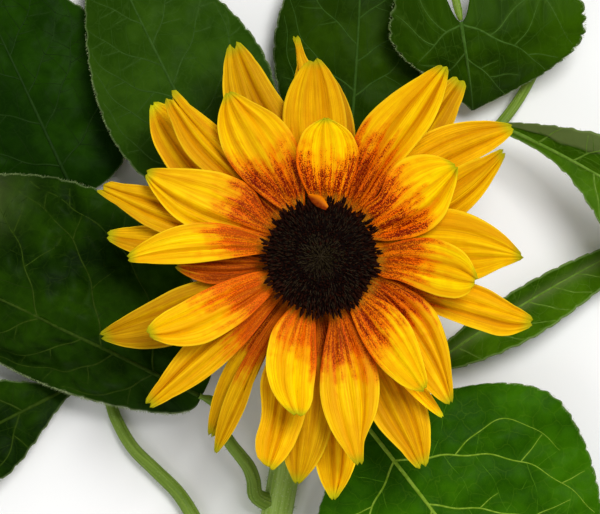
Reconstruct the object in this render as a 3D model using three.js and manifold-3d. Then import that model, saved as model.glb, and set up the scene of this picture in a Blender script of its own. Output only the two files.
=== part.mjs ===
// A cut flowering shoot of a sunflower, lying on its stem with the flower facing up.
// Lengths are millimetres, +Z is up and the shoot rests on the plane z = 0. The shoot is laid out
// with the flower's axis on x = y = 0; the last lines move the origin to the middle of its footprint.
// Angles are degrees, counter-clockwise from +X as seen from above.
import * as THREE from "three";
import { mergeVertices } from "three/addons/utils/BufferGeometryUtils.js";
import Module from "manifold-3d";

const wasm = await Module();
wasm.setup();

// Stem: it leaves the flower downwards, bends over and lies along the ground.
const STEM_HEADING = 260;
const STEM_SIDES = 12;
const STEM_PIECES = 12;
const STEM_CUT_AT = 205; // from the flower's axis to the cut, along the ground
const STEM_RADIUS_NECK = 5.0;
const STEM_RADIUS_BEND = 5.3;
const STEM_RADIUS_CUT = 6.2;
const STEM_SWAY = 2.5;
const BEND_RADIUS = 20;
const NECK_PIECES = 10;
const NECK_TURN_STEP = 3; // degrees between the points that the bend's curve runs through
const SEAT_GAP = 0.3; // what is left between two pieces that grow together
const BLADE_GAP = 0.85; // and between a petiole and its blade

// Flower head: a green cup with bracts, the brown disc on top of it and the rays round its wall.
const CUP_FOOT_Z = 32;
const CUP_TOP_Z = 54;
const CUP_RADIUS = 15;
const DISC_RADIUS = 19.3;
const DISC_HEIGHT = 7.5;
const ROUND_SEGMENTS = 24;
// Their profiles, as radius and height above their own foot.
const CUP_PROFILE = [
  [0, 0],
  [5.3, 0],
  [7, 4],
  [10.5, 8.5],
  [13.8, 12],
  [CUP_RADIUS, 13.2],
  [CUP_RADIUS, CUP_TOP_Z - CUP_FOOT_Z],
  [0, CUP_TOP_Z - CUP_FOOT_Z],
];
const DISC_PROFILE = [
  [0, 0],
  [CUP_RADIUS, 0],
  [18.6, 1.1],
  [DISC_RADIUS, 2.3],
  [18.4, 4.3],
  [15.5, 6],
  [11, 7.1],
  [6, DISC_HEIGHT],
  [2.5, 7],
  [0, 6.7],
];
const BRACT_COUNT = 14;
const BRACT_LENGTHS = [31, 25];
const BRACT_WIDTH = 10;
const BRACT_THICKNESS = 1.2;
const BRACT_ROOT_RADIUS = CUP_RADIUS - 4;
const BRACT_ROOT_Z = CUP_TOP_Z - 10.9;
const BRACT_DROOP = 0.0035; // per millimetre: its drop is this times its distance out, squared
const BRACT_CUP = 0.8; // how far its edges stand above its middle line
const BRACT_STATIONS = [0, 0.3, 0.6, 0.85, 1];

// Rays: five rings, one under the other. Ring 0 is the front one, next to the disc's edge.
const RAY_THICKNESS = 0.7;
const RAY_SEAT_RADIUS = CUP_RADIUS + SEAT_GAP;
const RAY_TOP_SEAT_Z = CUP_TOP_Z - 1;
const RING_PITCH = 1.75;
const RING_SLOPE = { front: 0.25, step: 0.055 };
const RING_CURVE = { front: 0.0014, step: 0.00065 };
const RAY_CLAW_HALF_WIDTH = 1.4;
const RAY_TIP_HALF_WIDTH = 0.4;
const RAY_CUP = 0.7;
const RAY_STATIONS = [0, 0.1, 0.25, 0.42, 0.58, 0.74, 0.89, 1];
// How blunt a ring's rays are, and how far out they are widest.
const RING_BLUNTNESS = [0.65, 0.78, 0.78, 0.78, 0.78];
const RING_WIDEST = [1.15, 1.15, 1.3, 1.35, 1.35];

// Each ray: its ring, the angles of its root, middle and tip, the tip's distance from the flower's
// axis, its width, and how far its tip is lifted above its ring's surface. blunt is given where a ray's
// tip is blunter (under the ring's value) or more drawn out (over it) than those of its ring.
const RAYS = [
  { ring: 0, angles: [-4, -5, -9], reach: 52.5, width: 18, lift: 5 },
  { ring: 1, angles: [13, 7, 0], reach: 67, width: 23, lift: 0 },
  { ring: 2, angles: [19, 23, 30], reach: 70.5, width: 16.5, lift: 0, blunt: 1.05 },
  { ring: 0, angles: [31.5, 32.5, 34], reach: 54, width: 24, lift: 4 },
  { ring: 4, angles: [46, 49.5, 51.7], reach: 76.5, width: 15, lift: 0 },
  { ring: 3, angles: [48.5, 43.5, 34], reach: 78, width: 17, lift: 0 },
  { ring: 1, angles: [61, 59.5, 57], reach: 75.5, width: 22, lift: 0 },
  { ring: 3, angles: [78, 83, 88], reach: 62, width: 16, lift: 0 },
  { ring: 0, angles: [83.5, 86, 88], reach: 46, width: 21, lift: 7 },
  { ring: 2, angles: [92, 92, 92], reach: 66.5, width: 20.5, lift: 0 },
  { ring: 4, angles: [99, 97.5, 96.5], reach: 75, width: 15, lift: 0, blunt: 2.2 },
  { ring: 3, angles: [112.5, 113.5, 112.3], reach: 77.5, width: 19, lift: 0 },
  { ring: 1, angles: [117, 118.5, 119.5], reach: 63, width: 22.5, lift: 0 },
  { ring: 2, angles: [134.5, 134.5, 132.9], reach: 74.5, width: 14.5, lift: 0 },
  { ring: 4, angles: [157, 144, 137.7], reach: 77, width: 17, lift: 0, blunt: 0.5 },
  { ring: 1, angles: [152.5, 154, 154.2], reach: 64.5, width: 19, lift: 0 },
  { ring: 2, angles: [163, 164, 162.2], reach: 78.5, width: 15.5, lift: 0 },
  { ring: 0, angles: [168, 173, 180.3], reach: 64, width: 13.5, lift: 0, blunt: 0.8 },
  { ring: 3, angles: [174.5, 175.3, 174.2], reach: 72, width: 12.5, lift: 0 },
  { ring: 2, angles: [189, 186.5, 183], reach: 49, width: 11, lift: 0 },
  { ring: 3, angles: [203, 203, 199.8], reach: 78.5, width: 17, lift: 0 },
  { ring: 0, angles: [204, 206.5, 203.8], reach: 62.5, width: 17, lift: 2 },
  { ring: 2, angles: [219.5, 219.8, 220.5], reach: 76, width: 14.5, lift: 0 },
  { ring: 4, angles: [230, 234.5, 238.3], reach: 71, width: 11, lift: 0 },
  { ring: 3, angles: [235.5, 238.5, 241.7], reach: 74.5, width: 8.5, lift: 0 },
  { ring: 0, angles: [252, 252.5, 261.5], reach: 53, width: 17.5, lift: 5 },
  { ring: 2, angles: [254, 255.3, 255.7], reach: 73.5, width: 15.5, lift: 0, blunt: 0.6 },
  { ring: 3, angles: [264, 265, 264], reach: 76.5, width: 18, lift: 0 },
  { ring: 4, angles: [272, 275, 273], reach: 82, width: 17, lift: 0 },
  { ring: 1, angles: [287, 284, 280.5], reach: 70, width: 19.5, lift: 0, blunt: 0.95 },
  { ring: 3, angles: [297, 297.3, 295.8], reach: 78.5, width: 19.5, lift: 0 },
  { ring: 2, angles: [303, 305, 307.2], reach: 67, width: 6, lift: 0 },
  { ring: 0, angles: [310.5, 310.3, 308], reach: 56, width: 17, lift: 3 },
  { ring: 1, angles: [334, 323, 311.5], reach: 65, width: 16.5, lift: 0 },
  { ring: 2, angles: [340, 341.5, 342.8], reach: 74, width: 15, lift: 0, blunt: 0.6 },
];

// A small stray ray that lies curled on the disc's edge: root, middle and tip.
const STRAY_LINE = [
  [2, 16.2, 60.9],
  [-1, 18.7, 59.6],
  [-4.3, 20.7, 59.2],
];
const STRAY_HALF_WIDTHS = [0.7, 1.6, 0.3];

// Leaves. base is where the blade meets its petiole, heading is the way that its midrib leaves it, and
// bend is how far it has turned at the tip. arch and tipZ are the midrib's height at its middle and tip.
// Pairs are for the left and right half as seen from the base: halves are the half widths, tilts are
// positive where a half rises, a half with a small shoulder widens at once, and a higher taper keeps it
// wide for longer. lobe is how far the blade's base corners sweep back. A greater sinus narrows the
// notch between them, and a greater crowd sets more of the blade's rows there.
// Each petiole leaves the stem at a distance from the flower's axis (along the ground) or, with turn,
// at that many degrees round the bend. side is the angle round the stem from its top, positive to the
// right of someone who looks from the flower to the cut. A petiole that hooks round is made in two
// pieces, parted at the share of its length that split gives. gap is how far it ends from the blade.
const LEAF_THICKNESS = 0.9;
const LEAF_STATIONS = [0, 0.05, 0.12, 0.22, 0.35, 0.49, 0.63, 0.77, 0.9, 1];
const LEAF_COLUMNS = [-1, -0.66, -0.33, 0, 0.33, 0.66, 1];
const LEAF_FOOT_HALF_WIDTH = 2;
const LEAF_TIP_HALF_WIDTH = 0.6;
const LOBE_SPAN = 0.16; // the share of a blade's length that its base corners take
const LEAF_SINUS = 2;
const EDGE_WAVES = 2.6; // waves of a blade's edge along its length
const MIDRIB_STEPS = 24;
const PETIOLE_SIDES = 6;
const PETIOLE_STEPS = 9;
const PETIOLE_STRAIGHT = { root: 3, end: 6 }; // straight stretches where it meets stem and blade
const PETIOLE_SWELL = { root: 1.15, end: 0.75 }; // times its radius
const LEAVES = [
  {
    name: "left",
    base: [-41, -48, 19],
    heading: 153,
    bend: 4,
    length: 150,
    halves: [25, 49],
    tilts: [-34, -10],
    taper: [1.8, 1.8],
    arch: 27,
    tipZ: 1,
    shoulder: [0.6, 0.6],
    lobe: 4,
    widest: 0.4,
    wave: 1.6,
    petiole: { at: 86, side: 62, radius: 2.4, via: [[-24, -74, 13], [-33, -61, 16]] },
  },
  {
    name: "low_right",
    base: [15.7, -57.7, 20],
    heading: -51.5,
    bend: -4,
    length: 128,
    halves: [58, 46],
    tilts: [-6, -12],
    taper: [1.8, 1.8],
    arch: 25,
    tipZ: 1,
    shoulder: [0.66, 0.66],
    lobe: 0,
    widest: 0.28,
    wave: 1.5,
    petiole: { at: 37, side: -50, radius: 2.4, via: [[6, -43, 15]] },
  },
  {
    name: "top_right",
    base: [47.7, 80, 31],
    heading: -80,
    bend: 0,
    length: 29.5,
    halves: [44, 25],
    tilts: [-14, -14],
    taper: [2.3, 1.0],
    arch: 27,
    tipZ: 10,
    shoulder: [0.42, 0.42],
    lobe: 20,
    sinus: 6,
    crowd: 1.6,
    widest: 0.2,
    wave: 1.0,
    petiole: {
      turn: 8,
      side: -150,
      radius: 1.9,
      split: 0.62,
      gap: 2.1,
      via: [
        [30, 25, 17],
        [54, 38, 8],
        [71, 58, 5],
        [80, 84, 7],
        [74, 104, 19],
        [58, 110, 27],
        [45, 98, 31],
      ],
    },
  },
  {
    name: "top_left",
    base: [-29, 17, 27],
    heading: 118,
    bend: -3,
    length: 112,
    halves: [27, 33],
    tilts: [-10, -8],
    taper: [1.8, 1.8],
    arch: 25,
    tipZ: 1,
    shoulder: [0.6, 0.6],
    lobe: 6,
    widest: 0.38,
    wave: 1.6,
    petiole: { turn: 14, side: 130, radius: 2.1, via: [[-17, 6, 25]] },
  },
  {
    name: "top",
    base: [9, 27, 12],
    heading: 84,
    bend: 6,
    length: 108,
    halves: [29, 24],
    tilts: [-8, -8],
    taper: [1.8, 1.8],
    arch: 14,
    tipZ: 1,
    shoulder: [0.6, 0.6],
    lobe: 5,
    widest: 0.42,
    wave: 1.2,
    petiole: { turn: 50, side: 180, radius: 2.1, via: [[5, 13, 12]] },
  },
  {
    name: "right",
    base: [63, 44.5, 21],
    heading: -26,
    bend: -10,
    length: 104,
    halves: [21, 19],
    tilts: [38, -4],
    taper: [1.8, 1.8],
    arch: 30,
    tipZ: 15,
    shoulder: [0.9, 3.3],
    lobe: 0,
    widest: 0.6,
    wave: 1.2,
    petiole: { turn: 30, side: -120, radius: 1.9, via: [[22, 12, 20], [46, 32, 22]] },
  },
  {
    name: "right_low",
    base: [38, -38, 7],
    heading: 36,
    bend: -12,
    length: 96,
    halves: [7.5, 14],
    tilts: [40, 37],
    taper: [1.8, 1.8],
    arch: 5,
    tipZ: 1,
    shoulder: [0.7, 0.7],
    lobe: 0,
    widest: 0.4,
    wave: 0.8,
    petiole: { at: 24, side: -90, radius: 2.3, via: [[8, -33, 5], [24, -41, 5.5]] },
  },
  {
    name: "far_left",
    base: [-85, 21, 7],
    heading: 114,
    bend: 3,
    length: 95,
    halves: [30, 37],
    tilts: [-8, -4],
    taper: [1.8, 1.8],
    arch: 10,
    tipZ: 1,
    shoulder: [0.6, 0.6],
    lobe: 4,
    widest: 0.36,
    wave: 1.0,
    petiole: { turn: 64, side: 110, radius: 2.1, via: [[-22, 1, 6], [-50, 8, 5], [-74, 11, 5.5]] },
  },
  {
    name: "low_left",
    base: [-84, -43.5, 4],
    heading: 208,
    bend: -4,
    length: 92,
    halves: [18, 20],
    tilts: [4, 6],
    taper: [1.8, 1.8],
    arch: 10,
    tipZ: 1,
    shoulder: [1.8, 1.8],
    lobe: 3,
    widest: 0.45,
    wave: 0.6,
    petiole: { at: 124, side: 90, radius: 2.6, via: [[-46.5, -86, 3.4], [-67, -64, 3.2]] },
  },
];

const COLOURS = {
  ray: { color: "#f2b705", roughness: 0.55 },
  stray: { color: "#e08a1e", roughness: 0.55 },
  disc: { color: "#24150f", roughness: 0.85 },
  cup: { color: "#4f7a2a", roughness: 0.7 },
  stem: { color: "#6d8f3c", roughness: 0.65 },
  leaf: { color: "#2c5a18", roughness: 0.5 },
};

const radians = THREE.MathUtils.degToRad;
const lerp = THREE.MathUtils.lerp;

const shoot = new THREE.Group();

function addPiece(name, geometry, colour) {
  const mesh = new THREE.Mesh(geometry, new THREE.MeshStandardMaterial(COLOURS[colour]));
  mesh.name = name;
  shoot.add(mesh);
}

// A unit vector that lies level and points along a heading.
function level(heading) {
  return new THREE.Vector3(Math.cos(radians(heading)), Math.sin(radians(heading)), 0);
}

function geometryOf(vertices, triangles) {
  const geometry = new THREE.BufferGeometry();
  const numbers = vertices.flatMap((v) => v.toArray());
  geometry.setAttribute("position", new THREE.Float32BufferAttribute(numbers, 3));
  geometry.setIndex(triangles.flat());
  return geometry;
}

// A thin closed blade: rows of points on its middle surface, thickened along that surface's normals.
function bladeGeometry(rows, thickness) {
  const last = rows.length - 1;
  const across = rows[0].length;
  const normalAt = (i, j) => {
    const along = rows[Math.min(i + 1, last)][j].clone().sub(rows[Math.max(i - 1, 0)][j]);
    const over = rows[i][Math.min(j + 1, across - 1)].clone().sub(rows[i][Math.max(j - 1, 0)]);
    return along.cross(over).normalize();
  };
  const skinAt = (half) =>
    rows.flatMap((row, i) =>
      row.map((p, j) => p.clone().addScaledVector(normalAt(i, j), half * thickness)),
    );
  const skins = [skinAt(0.5), skinAt(-0.5)];
  const count = skins[0].length;
  const top = (i, j) => i * across + j;
  const under = (i, j) => count + top(i, j);
  const triangles = [];
  for (let i = 0; i < last; i += 1) {
    for (let j = 0; j < across - 1; j += 1) {
      triangles.push([top(i, j), top(i + 1, j), top(i + 1, j + 1)]);
      triangles.push([top(i, j), top(i + 1, j + 1), top(i, j + 1)]);
      triangles.push([under(i, j), under(i + 1, j + 1), under(i + 1, j)]);
      triangles.push([under(i, j), under(i, j + 1), under(i + 1, j + 1)]);
    }
  }
  const rim = [];
  for (let i = 0; i < last; i += 1) rim.push([i, 0]);
  for (let j = 0; j < across - 1; j += 1) rim.push([last, j]);
  for (let i = last; i > 0; i -= 1) rim.push([i, across - 1]);
  for (let j = across - 1; j > 0; j -= 1) rim.push([0, j]);
  rim.forEach((a, k) => {
    const b = rim[(k + 1) % rim.length];
    triangles.push([top(...a), under(...a), under(...b)], [top(...a), under(...b), top(...b)]);
  });
  return geometryOf([...skins[0], ...skins[1]], triangles);
}

// A closed tapering tube along a curve, or along a stretch of it, with flat ends. The facets are turned
// so that one of them faces the ground.
function tubeGeometry(curve, radiusAt, sides, steps, from = 0, to = 1) {
  const vertices = [];
  let normal = new THREE.Vector3(0, 0, 1);
  if (Math.abs(curve.getTangentAt(from).z) > 0.9) normal = level(STEM_HEADING);
  for (let i = 0; i <= steps; i += 1) {
    const t = lerp(from, to, i / steps);
    const centre = curve.getPointAt(t);
    const tangent = curve.getTangentAt(t);
    normal.addScaledVector(tangent, -normal.dot(tangent)).normalize();
    const binormal = tangent.clone().cross(normal);
    for (let k = 0; k < sides; k += 1) {
      const angle = ((k + 0.5) / sides) * 2 * Math.PI;
      const out = normal.clone().multiplyScalar(Math.cos(angle));
      out.addScaledVector(binormal, Math.sin(angle));
      vertices.push(centre.clone().addScaledVector(out, radiusAt(t)));
    }
  }
  const ends = [vertices.length, vertices.length + 1];
  vertices.push(curve.getPointAt(from), curve.getPointAt(to));
  const triangles = [];
  const at = (i, k) => i * sides + (k % sides);
  for (let k = 0; k < sides; k += 1) {
    for (let i = 0; i < steps; i += 1) {
      triangles.push([at(i, k), at(i, k + 1), at(i + 1, k + 1)]);
      triangles.push([at(i, k), at(i + 1, k + 1), at(i + 1, k)]);
    }
    triangles.push([ends[0], at(0, k + 1), at(0, k)]);
    triangles.push([ends[1], at(steps, k), at(steps, k + 1)]);
  }
  return geometryOf(vertices, triangles);
}

// A round body turned from a profile that stands on a height.
function turnedGeometry(profile, footZ) {
  const points = profile.map(([radius, height]) => new THREE.Vector2(radius, footZ + height));
  return new THREE.LatheGeometry(points, ROUND_SEGMENTS).rotateX(Math.PI / 2);
}

function solidOf(geometry) {
  const bare = geometry.clone();
  bare.deleteAttribute("normal");
  bare.deleteAttribute("uv");
  const merged = mergeVertices(bare, 1e-4);
  return new wasm.Manifold(
    new wasm.Mesh({
      numProp: 3,
      vertProperties: merged.attributes.position.array,
      triVerts: new Uint32Array(merged.index.array),
    }),
  );
}

function geometryOfSolid(solid) {
  const mesh = solid.getMesh();
  const geometry = new THREE.BufferGeometry();
  geometry.setAttribute("position", new THREE.BufferAttribute(mesh.vertProperties, 3));
  geometry.setIndex(new THREE.BufferAttribute(mesh.triVerts, 1));
  return geometry;
}

// The stem's height above the ground is its flat underside's distance from its middle.
const facetShare = Math.cos(Math.PI / STEM_SIDES);
const bendFootZ = STEM_RADIUS_BEND * facetShare;
const bendTopZ = bendFootZ + BEND_RADIUS;

// A point on the bend's middle line, turned by so many degrees from straight down.
function bendPoint(turn) {
  const point = level(STEM_HEADING).multiplyScalar(BEND_RADIUS * (1 - Math.cos(radians(turn))));
  point.z = bendTopZ - BEND_RADIUS * Math.sin(radians(turn));
  return point;
}

// How far along the lying stem a distance from the flower's axis is, as a share.
function stemShare(distance) {
  return (distance - BEND_RADIUS) / (STEM_CUT_AT - BEND_RADIUS);
}

function stemRadius(distance) {
  return lerp(STEM_RADIUS_BEND, STEM_RADIUS_CUT, stemShare(distance));
}

// A point on the lying stem's middle line, at a distance from the flower's axis.
function stemPoint(distance) {
  const share = stemShare(distance);
  const sway = STEM_SWAY * Math.sin(2 * Math.PI * share) * share;
  const point = level(STEM_HEADING).multiplyScalar(distance);
  point.addScaledVector(level(STEM_HEADING + 90), sway);
  point.z = stemRadius(distance) * facetShare;
  return point;
}

function makeNeck() {
  const points = [new THREE.Vector3(0, 0, CUP_FOOT_Z - SEAT_GAP)];
  for (let turn = 0; turn <= 90; turn += NECK_TURN_STEP) points.push(bendPoint(turn));
  const curve = new THREE.CatmullRomCurve3(points, false, "centripetal");
  const radius = (t) => lerp(STEM_RADIUS_NECK, STEM_RADIUS_BEND, t);
  addPiece("neck", tubeGeometry(curve, radius, STEM_SIDES, NECK_PIECES), "stem");
}

function makeStem() {
  const points = [];
  for (let i = 0; i <= STEM_PIECES; i += 1) {
    points.push(stemPoint(lerp(BEND_RADIUS + SEAT_GAP, STEM_CUT_AT, i / STEM_PIECES)));
  }
  const curve = new THREE.CatmullRomCurve3(points, false, "centripetal");
  const radius = (t) => lerp(STEM_RADIUS_BEND, STEM_RADIUS_CUT, t);
  addPiece("stem", tubeGeometry(curve, radius, STEM_SIDES, STEM_PIECES), "stem");
}

// One bract of the cup: a pointed blade that leaves the cup's shoulder and curves down and out.
function bractGeometry(heading, length) {
  const rows = BRACT_STATIONS.map((t) => {
    const swell = Math.pow(Math.sin(Math.PI * (0.22 + 0.78 * t)), 1.2);
    const half = 0.3 + (BRACT_WIDTH / 2) * swell;
    return [-1, 0, 1].map((side) => {
      const point = level(heading).multiplyScalar(BRACT_ROOT_RADIUS + length * t);
      point.addScaledVector(level(heading + 90), -side * half);
      point.z = BRACT_ROOT_Z - BRACT_DROOP * (length * t) ** 2 + BRACT_CUP * side * side;
      return point;
    });
  });
  return bladeGeometry(rows, BRACT_THICKNESS);
}

function makeCup() {
  let solid = solidOf(turnedGeometry(CUP_PROFILE, CUP_FOOT_Z));
  for (let k = 0; k < BRACT_COUNT; k += 1) {
    const length = BRACT_LENGTHS[k % BRACT_LENGTHS.length];
    solid = solid.add(solidOf(bractGeometry((k * 360) / BRACT_COUNT, length)));
  }
  addPiece("cup_with_bracts", geometryOfSolid(solid), "cup");
}

function makeDisc() {
  addPiece("disc", turnedGeometry(DISC_PROFILE, CUP_TOP_Z + SEAT_GAP), "disc");
}

// The height of a ring's surface at a distance from the flower's axis.
function ringHeight(ring, radius) {
  const out = radius - RAY_SEAT_RADIUS;
  const slope = RING_SLOPE.front - RING_SLOPE.step * ring;
  const curve = RING_CURVE.front - RING_CURVE.step * ring;
  return RAY_TOP_SEAT_Z - RING_PITCH * ring + slope * out + curve * out * out;
}

// The angle at which a ray's middle line stands, a smooth curve through its three angles.
function rayAngle(ray, t) {
  const [root, middle, tip] = ray.angles;
  return root * (1 - t) * (1 - 2 * t) + middle * 4 * t * (1 - t) + tip * t * (2 * t - 1);
}

function rayHalfWidth(ray, t) {
  const bare = lerp(RAY_CLAW_HALF_WIDTH, RAY_TIP_HALF_WIDTH, t);
  const blunt = ray.blunt ?? RING_BLUNTNESS[ray.ring];
  const swell = Math.pow(Math.sin(Math.PI * Math.pow(t, RING_WIDEST[ray.ring])), blunt);
  return bare + (ray.width / 2 - bare) * (t < 1 ? swell : 0);
}

function makeRay(ray, name) {
  const rows = RAY_STATIONS.map((t) => {
    const radius = lerp(RAY_SEAT_RADIUS, ray.reach, t);
    const angle = rayAngle(ray, t);
    const half = rayHalfWidth(ray, t);
    return [-1, 0, 1].map((side) => {
      const point = level(angle).multiplyScalar(radius);
      point.addScaledVector(level(angle + 90), -side * half);
      const cup = RAY_CUP * side * side * Math.min(1, half / 6);
      point.z = ringHeight(ray.ring, radius) + ray.lift * t * t + cup;
      return point;
    });
  });
  addPiece(name, bladeGeometry(rows, RAY_THICKNESS), "ray");
}

function makeStray() {
  const [root, , tip] = STRAY_LINE.map((place) => new THREE.Vector3(...place));
  const way = tip.sub(root).setZ(0).normalize();
  const across = new THREE.Vector3(-way.y, way.x, 0);
  const rows = STRAY_LINE.map((place, i) =>
    [-1, 0, 1].map((side) =>
      new THREE.Vector3(...place).addScaledVector(across, -side * STRAY_HALF_WIDTHS[i]),
    ),
  );
  addPiece("stray_ray", bladeGeometry(rows, RAY_THICKNESS), "stray");
}

// How wide one half of a blade is at a share of its length, as a share of its widest.
function leafOutline({ widest, shoulder, taper }, which, t) {
  if (t <= widest) return Math.pow(Math.sin((Math.PI / 2) * (t / widest)), shoulder[which]);
  const rest = (t - widest) / (1 - widest);
  return Math.pow(1 - Math.pow(rest, taper[which]), 1.1);
}

// The midrib's point at a share of its length, worked out from the heading and the three heights.
function midribPoint(leaf, t) {
  const point = new THREE.Vector3(...leaf.base);
  const step = (leaf.length * t) / MIDRIB_STEPS;
  for (let i = 0; i < MIDRIB_STEPS; i += 1) {
    const done = ((i + 0.5) / MIDRIB_STEPS) * t;
    point.addScaledVector(level(leaf.heading + leaf.bend * done), step);
  }
  const lift = 2 * leaf.arch - (leaf.base[2] + leaf.tipZ) / 2;
  point.z = (1 - t) ** 2 * leaf.base[2] + 2 * t * (1 - t) * lift + t * t * leaf.tipZ;
  return point;
}

// A blade's point at a share of its length and a side from -1, its left edge, to 1, its right one.
function bladePoint(leaf, t, side) {
  const which = side < 0 ? 0 : 1;
  const heading = leaf.heading + leaf.bend * t;
  const tilt = radians(leaf.tilts[which]);
  const share = t < 1 ? leafOutline(leaf, which, t) : 0;
  const bare = lerp(LEAF_FOOT_HALF_WIDTH, LEAF_TIP_HALF_WIDTH, t);
  const reach = Math.abs(side) * (bare + (leaf.halves[which] - bare) * share);
  const atEdge = side * side;
  const swept = Math.min(1, (leaf.sinus ?? LEAF_SINUS) * share);
  const sweep = leaf.lobe * atEdge * Math.exp(-((t / LOBE_SPAN) ** 2)) * swept;
  const phase = 2 * Math.PI * (EDGE_WAVES * t + 0.3 * Math.sign(side));
  const point = midribPoint(leaf, t);
  point.addScaledVector(level(heading + 90), -Math.sign(side) * reach * Math.cos(tilt));
  point.addScaledVector(level(heading), -sweep);
  point.z += reach * Math.sin(tilt) * lerp(0.6, 1, Math.abs(side));
  point.z += leaf.wave * atEdge * Math.sin(phase) * share;
  return point;
}

function makeBlade(leaf) {
  const stations = LEAF_STATIONS.map((t) => t ** (leaf.crowd ?? 1));
  const rows = stations.map((t) => LEAF_COLUMNS.map((side) => bladePoint(leaf, t, side)));
  addPiece("leaf_" + leaf.name, bladeGeometry(rows, LEAF_THICKNESS), "leaf");
}

// Where a petiole leaves the stem's skin, and the way out of it.
function petioleRoot({ at, turn, side }) {
  const onBend = turn !== undefined;
  const centre = onBend ? bendPoint(turn) : stemPoint(at);
  const ahead = onBend ? bendPoint(turn + 1) : stemPoint(at + 1);
  const tangent = ahead.sub(centre).normalize();
  const across = level(STEM_HEADING - 90);
  const up = across.clone().cross(tangent).normalize();
  const out = up.multiplyScalar(Math.cos(radians(side)));
  out.addScaledVector(across, Math.sin(radians(side)));
  const bendRadius = (angle) => lerp(STEM_RADIUS_NECK, STEM_RADIUS_BEND, angle / 90);
  const radius = onBend ? bendRadius(turn) : stemRadius(at);
  return { point: centre.addScaledVector(out, radius + SEAT_GAP), out };
}

function makePetiole(leaf) {
  const { point, out } = petioleRoot(leaf.petiole);
  const end = new THREE.Vector3(...leaf.base);
  const inward = end.clone().sub(midribPoint(leaf, 0.04)).normalize();
  const points = [
    point,
    point.clone().addScaledVector(out, PETIOLE_STRAIGHT.root),
    ...leaf.petiole.via.map((place) => new THREE.Vector3(...place)),
    end.clone().addScaledVector(inward, PETIOLE_STRAIGHT.end),
    end.clone().addScaledVector(inward, leaf.petiole.gap ?? BLADE_GAP),
  ];
  const curve = new THREE.CatmullRomCurve3(points, false, "centripetal");
  const radius = (t) => leaf.petiole.radius * lerp(PETIOLE_SWELL.root, PETIOLE_SWELL.end, t);
  const stretch = (from, to) =>
    tubeGeometry(curve, radius, PETIOLE_SIDES, PETIOLE_STEPS, from, to);
  const name = "petiole_" + leaf.name;
  const { split } = leaf.petiole;
  if (split === undefined) {
    addPiece(name, stretch(0, 1), "stem");
    return;
  }
  addPiece(name, stretch(0, split), "stem");
  addPiece(name + "_end", stretch(split + SEAT_GAP / curve.getLength(), 1), "stem");
}

makeStem();
makeNeck();
makeCup();
makeDisc();
RAYS.forEach((ray, i) => makeRay(ray, "ray_" + String(i + 1).padStart(2, "0")));
makeStray();
for (const leaf of LEAVES) {
  makePetiole(leaf);
  makeBlade(leaf);
}

// The origin is on the ground, under the middle of the whole shoot.
const box = new THREE.Box3().setFromObject(shoot);
const middle = box.getCenter(new THREE.Vector3());
shoot.position.set(-middle.x, -middle.y, -box.min.z);

export default shoot;
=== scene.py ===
# A cut flowering shoot of a sunflower, lying on its stem with the flower facing up.
# Named sizes are millimetres and angles are degrees; Blender's own units are metres.
import math

import bpy
import numpy as np
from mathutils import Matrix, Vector
from mathutils.kdtree import KDTree


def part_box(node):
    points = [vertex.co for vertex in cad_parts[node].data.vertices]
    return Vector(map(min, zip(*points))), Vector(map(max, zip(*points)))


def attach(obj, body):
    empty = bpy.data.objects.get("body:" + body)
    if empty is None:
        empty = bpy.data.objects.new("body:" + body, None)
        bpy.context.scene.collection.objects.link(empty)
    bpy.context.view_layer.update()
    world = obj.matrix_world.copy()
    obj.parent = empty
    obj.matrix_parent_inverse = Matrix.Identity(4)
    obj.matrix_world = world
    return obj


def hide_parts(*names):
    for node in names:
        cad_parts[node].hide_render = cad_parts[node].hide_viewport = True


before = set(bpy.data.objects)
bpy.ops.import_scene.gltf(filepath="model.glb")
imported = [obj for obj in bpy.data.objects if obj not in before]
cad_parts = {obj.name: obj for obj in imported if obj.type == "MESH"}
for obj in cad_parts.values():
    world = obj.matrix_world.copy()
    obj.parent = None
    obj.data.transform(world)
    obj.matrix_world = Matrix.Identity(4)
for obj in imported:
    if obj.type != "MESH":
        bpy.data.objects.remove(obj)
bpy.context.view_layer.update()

MM = 0.001
rng = np.random.default_rng(11)

# The flower's axis and the heights that its pieces are measured from.
DISC_BOX, CUP_BOX = (np.array(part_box(node)) / MM for node in ("disc", "cup_with_bracts"))
AXIS = DISC_BOX.mean(0)[:2]
DISC_LOW, DISC_HIGH = DISC_BOX[:, 2]
DISC_RADIUS = (DISC_BOX[1, 0] - DISC_BOX[0, 0]) / 2
CUP_LOW, CUP_HIGH = CUP_BOX[:, 2]

# Camera: straight above, so that 600 pixels are 200 mm wide at the petals' height.
CAMERA_HEIGHT = 1256
CAMERA_SHIFT = -7
CAMERA_SENSOR = 36
CAMERA_LENS = 216

# Lights, as (name, place, width, power in watts), and the height that they point at.
LIGHTS = [("key", (400, 550, 1300), 600, 16), ("fill", (-900, -700, 1200), 1200, 5)]
LIGHTS_AIM = 50
SKY_STRENGTH = 0.36
FLOOR_HALF = 4000

PETAL_THICKNESS = 0.35
PETAL_ROWS, PETAL_COLUMNS = 66, 31
# Petals of a lower ring get darker looks: painted shade for lying under the rings above.
POINTS_PER_ROW = 6  # of a petal's solid: three across, on each of two skins
RING_HEIGHTS = [53.0, 51.25, 49.5, 47.75]  # of the petals' roots; those of a lower ring look like the last
PETAL_CREST = 1.1  # how far a petal rises along its middle
FOLD_SINK, THIN_SINK = 1.9, 1.4  # how far its folds and its thin grooves sink
THIN_GROOVES = 4
PETAL_GLOSS = 0.05
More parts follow.
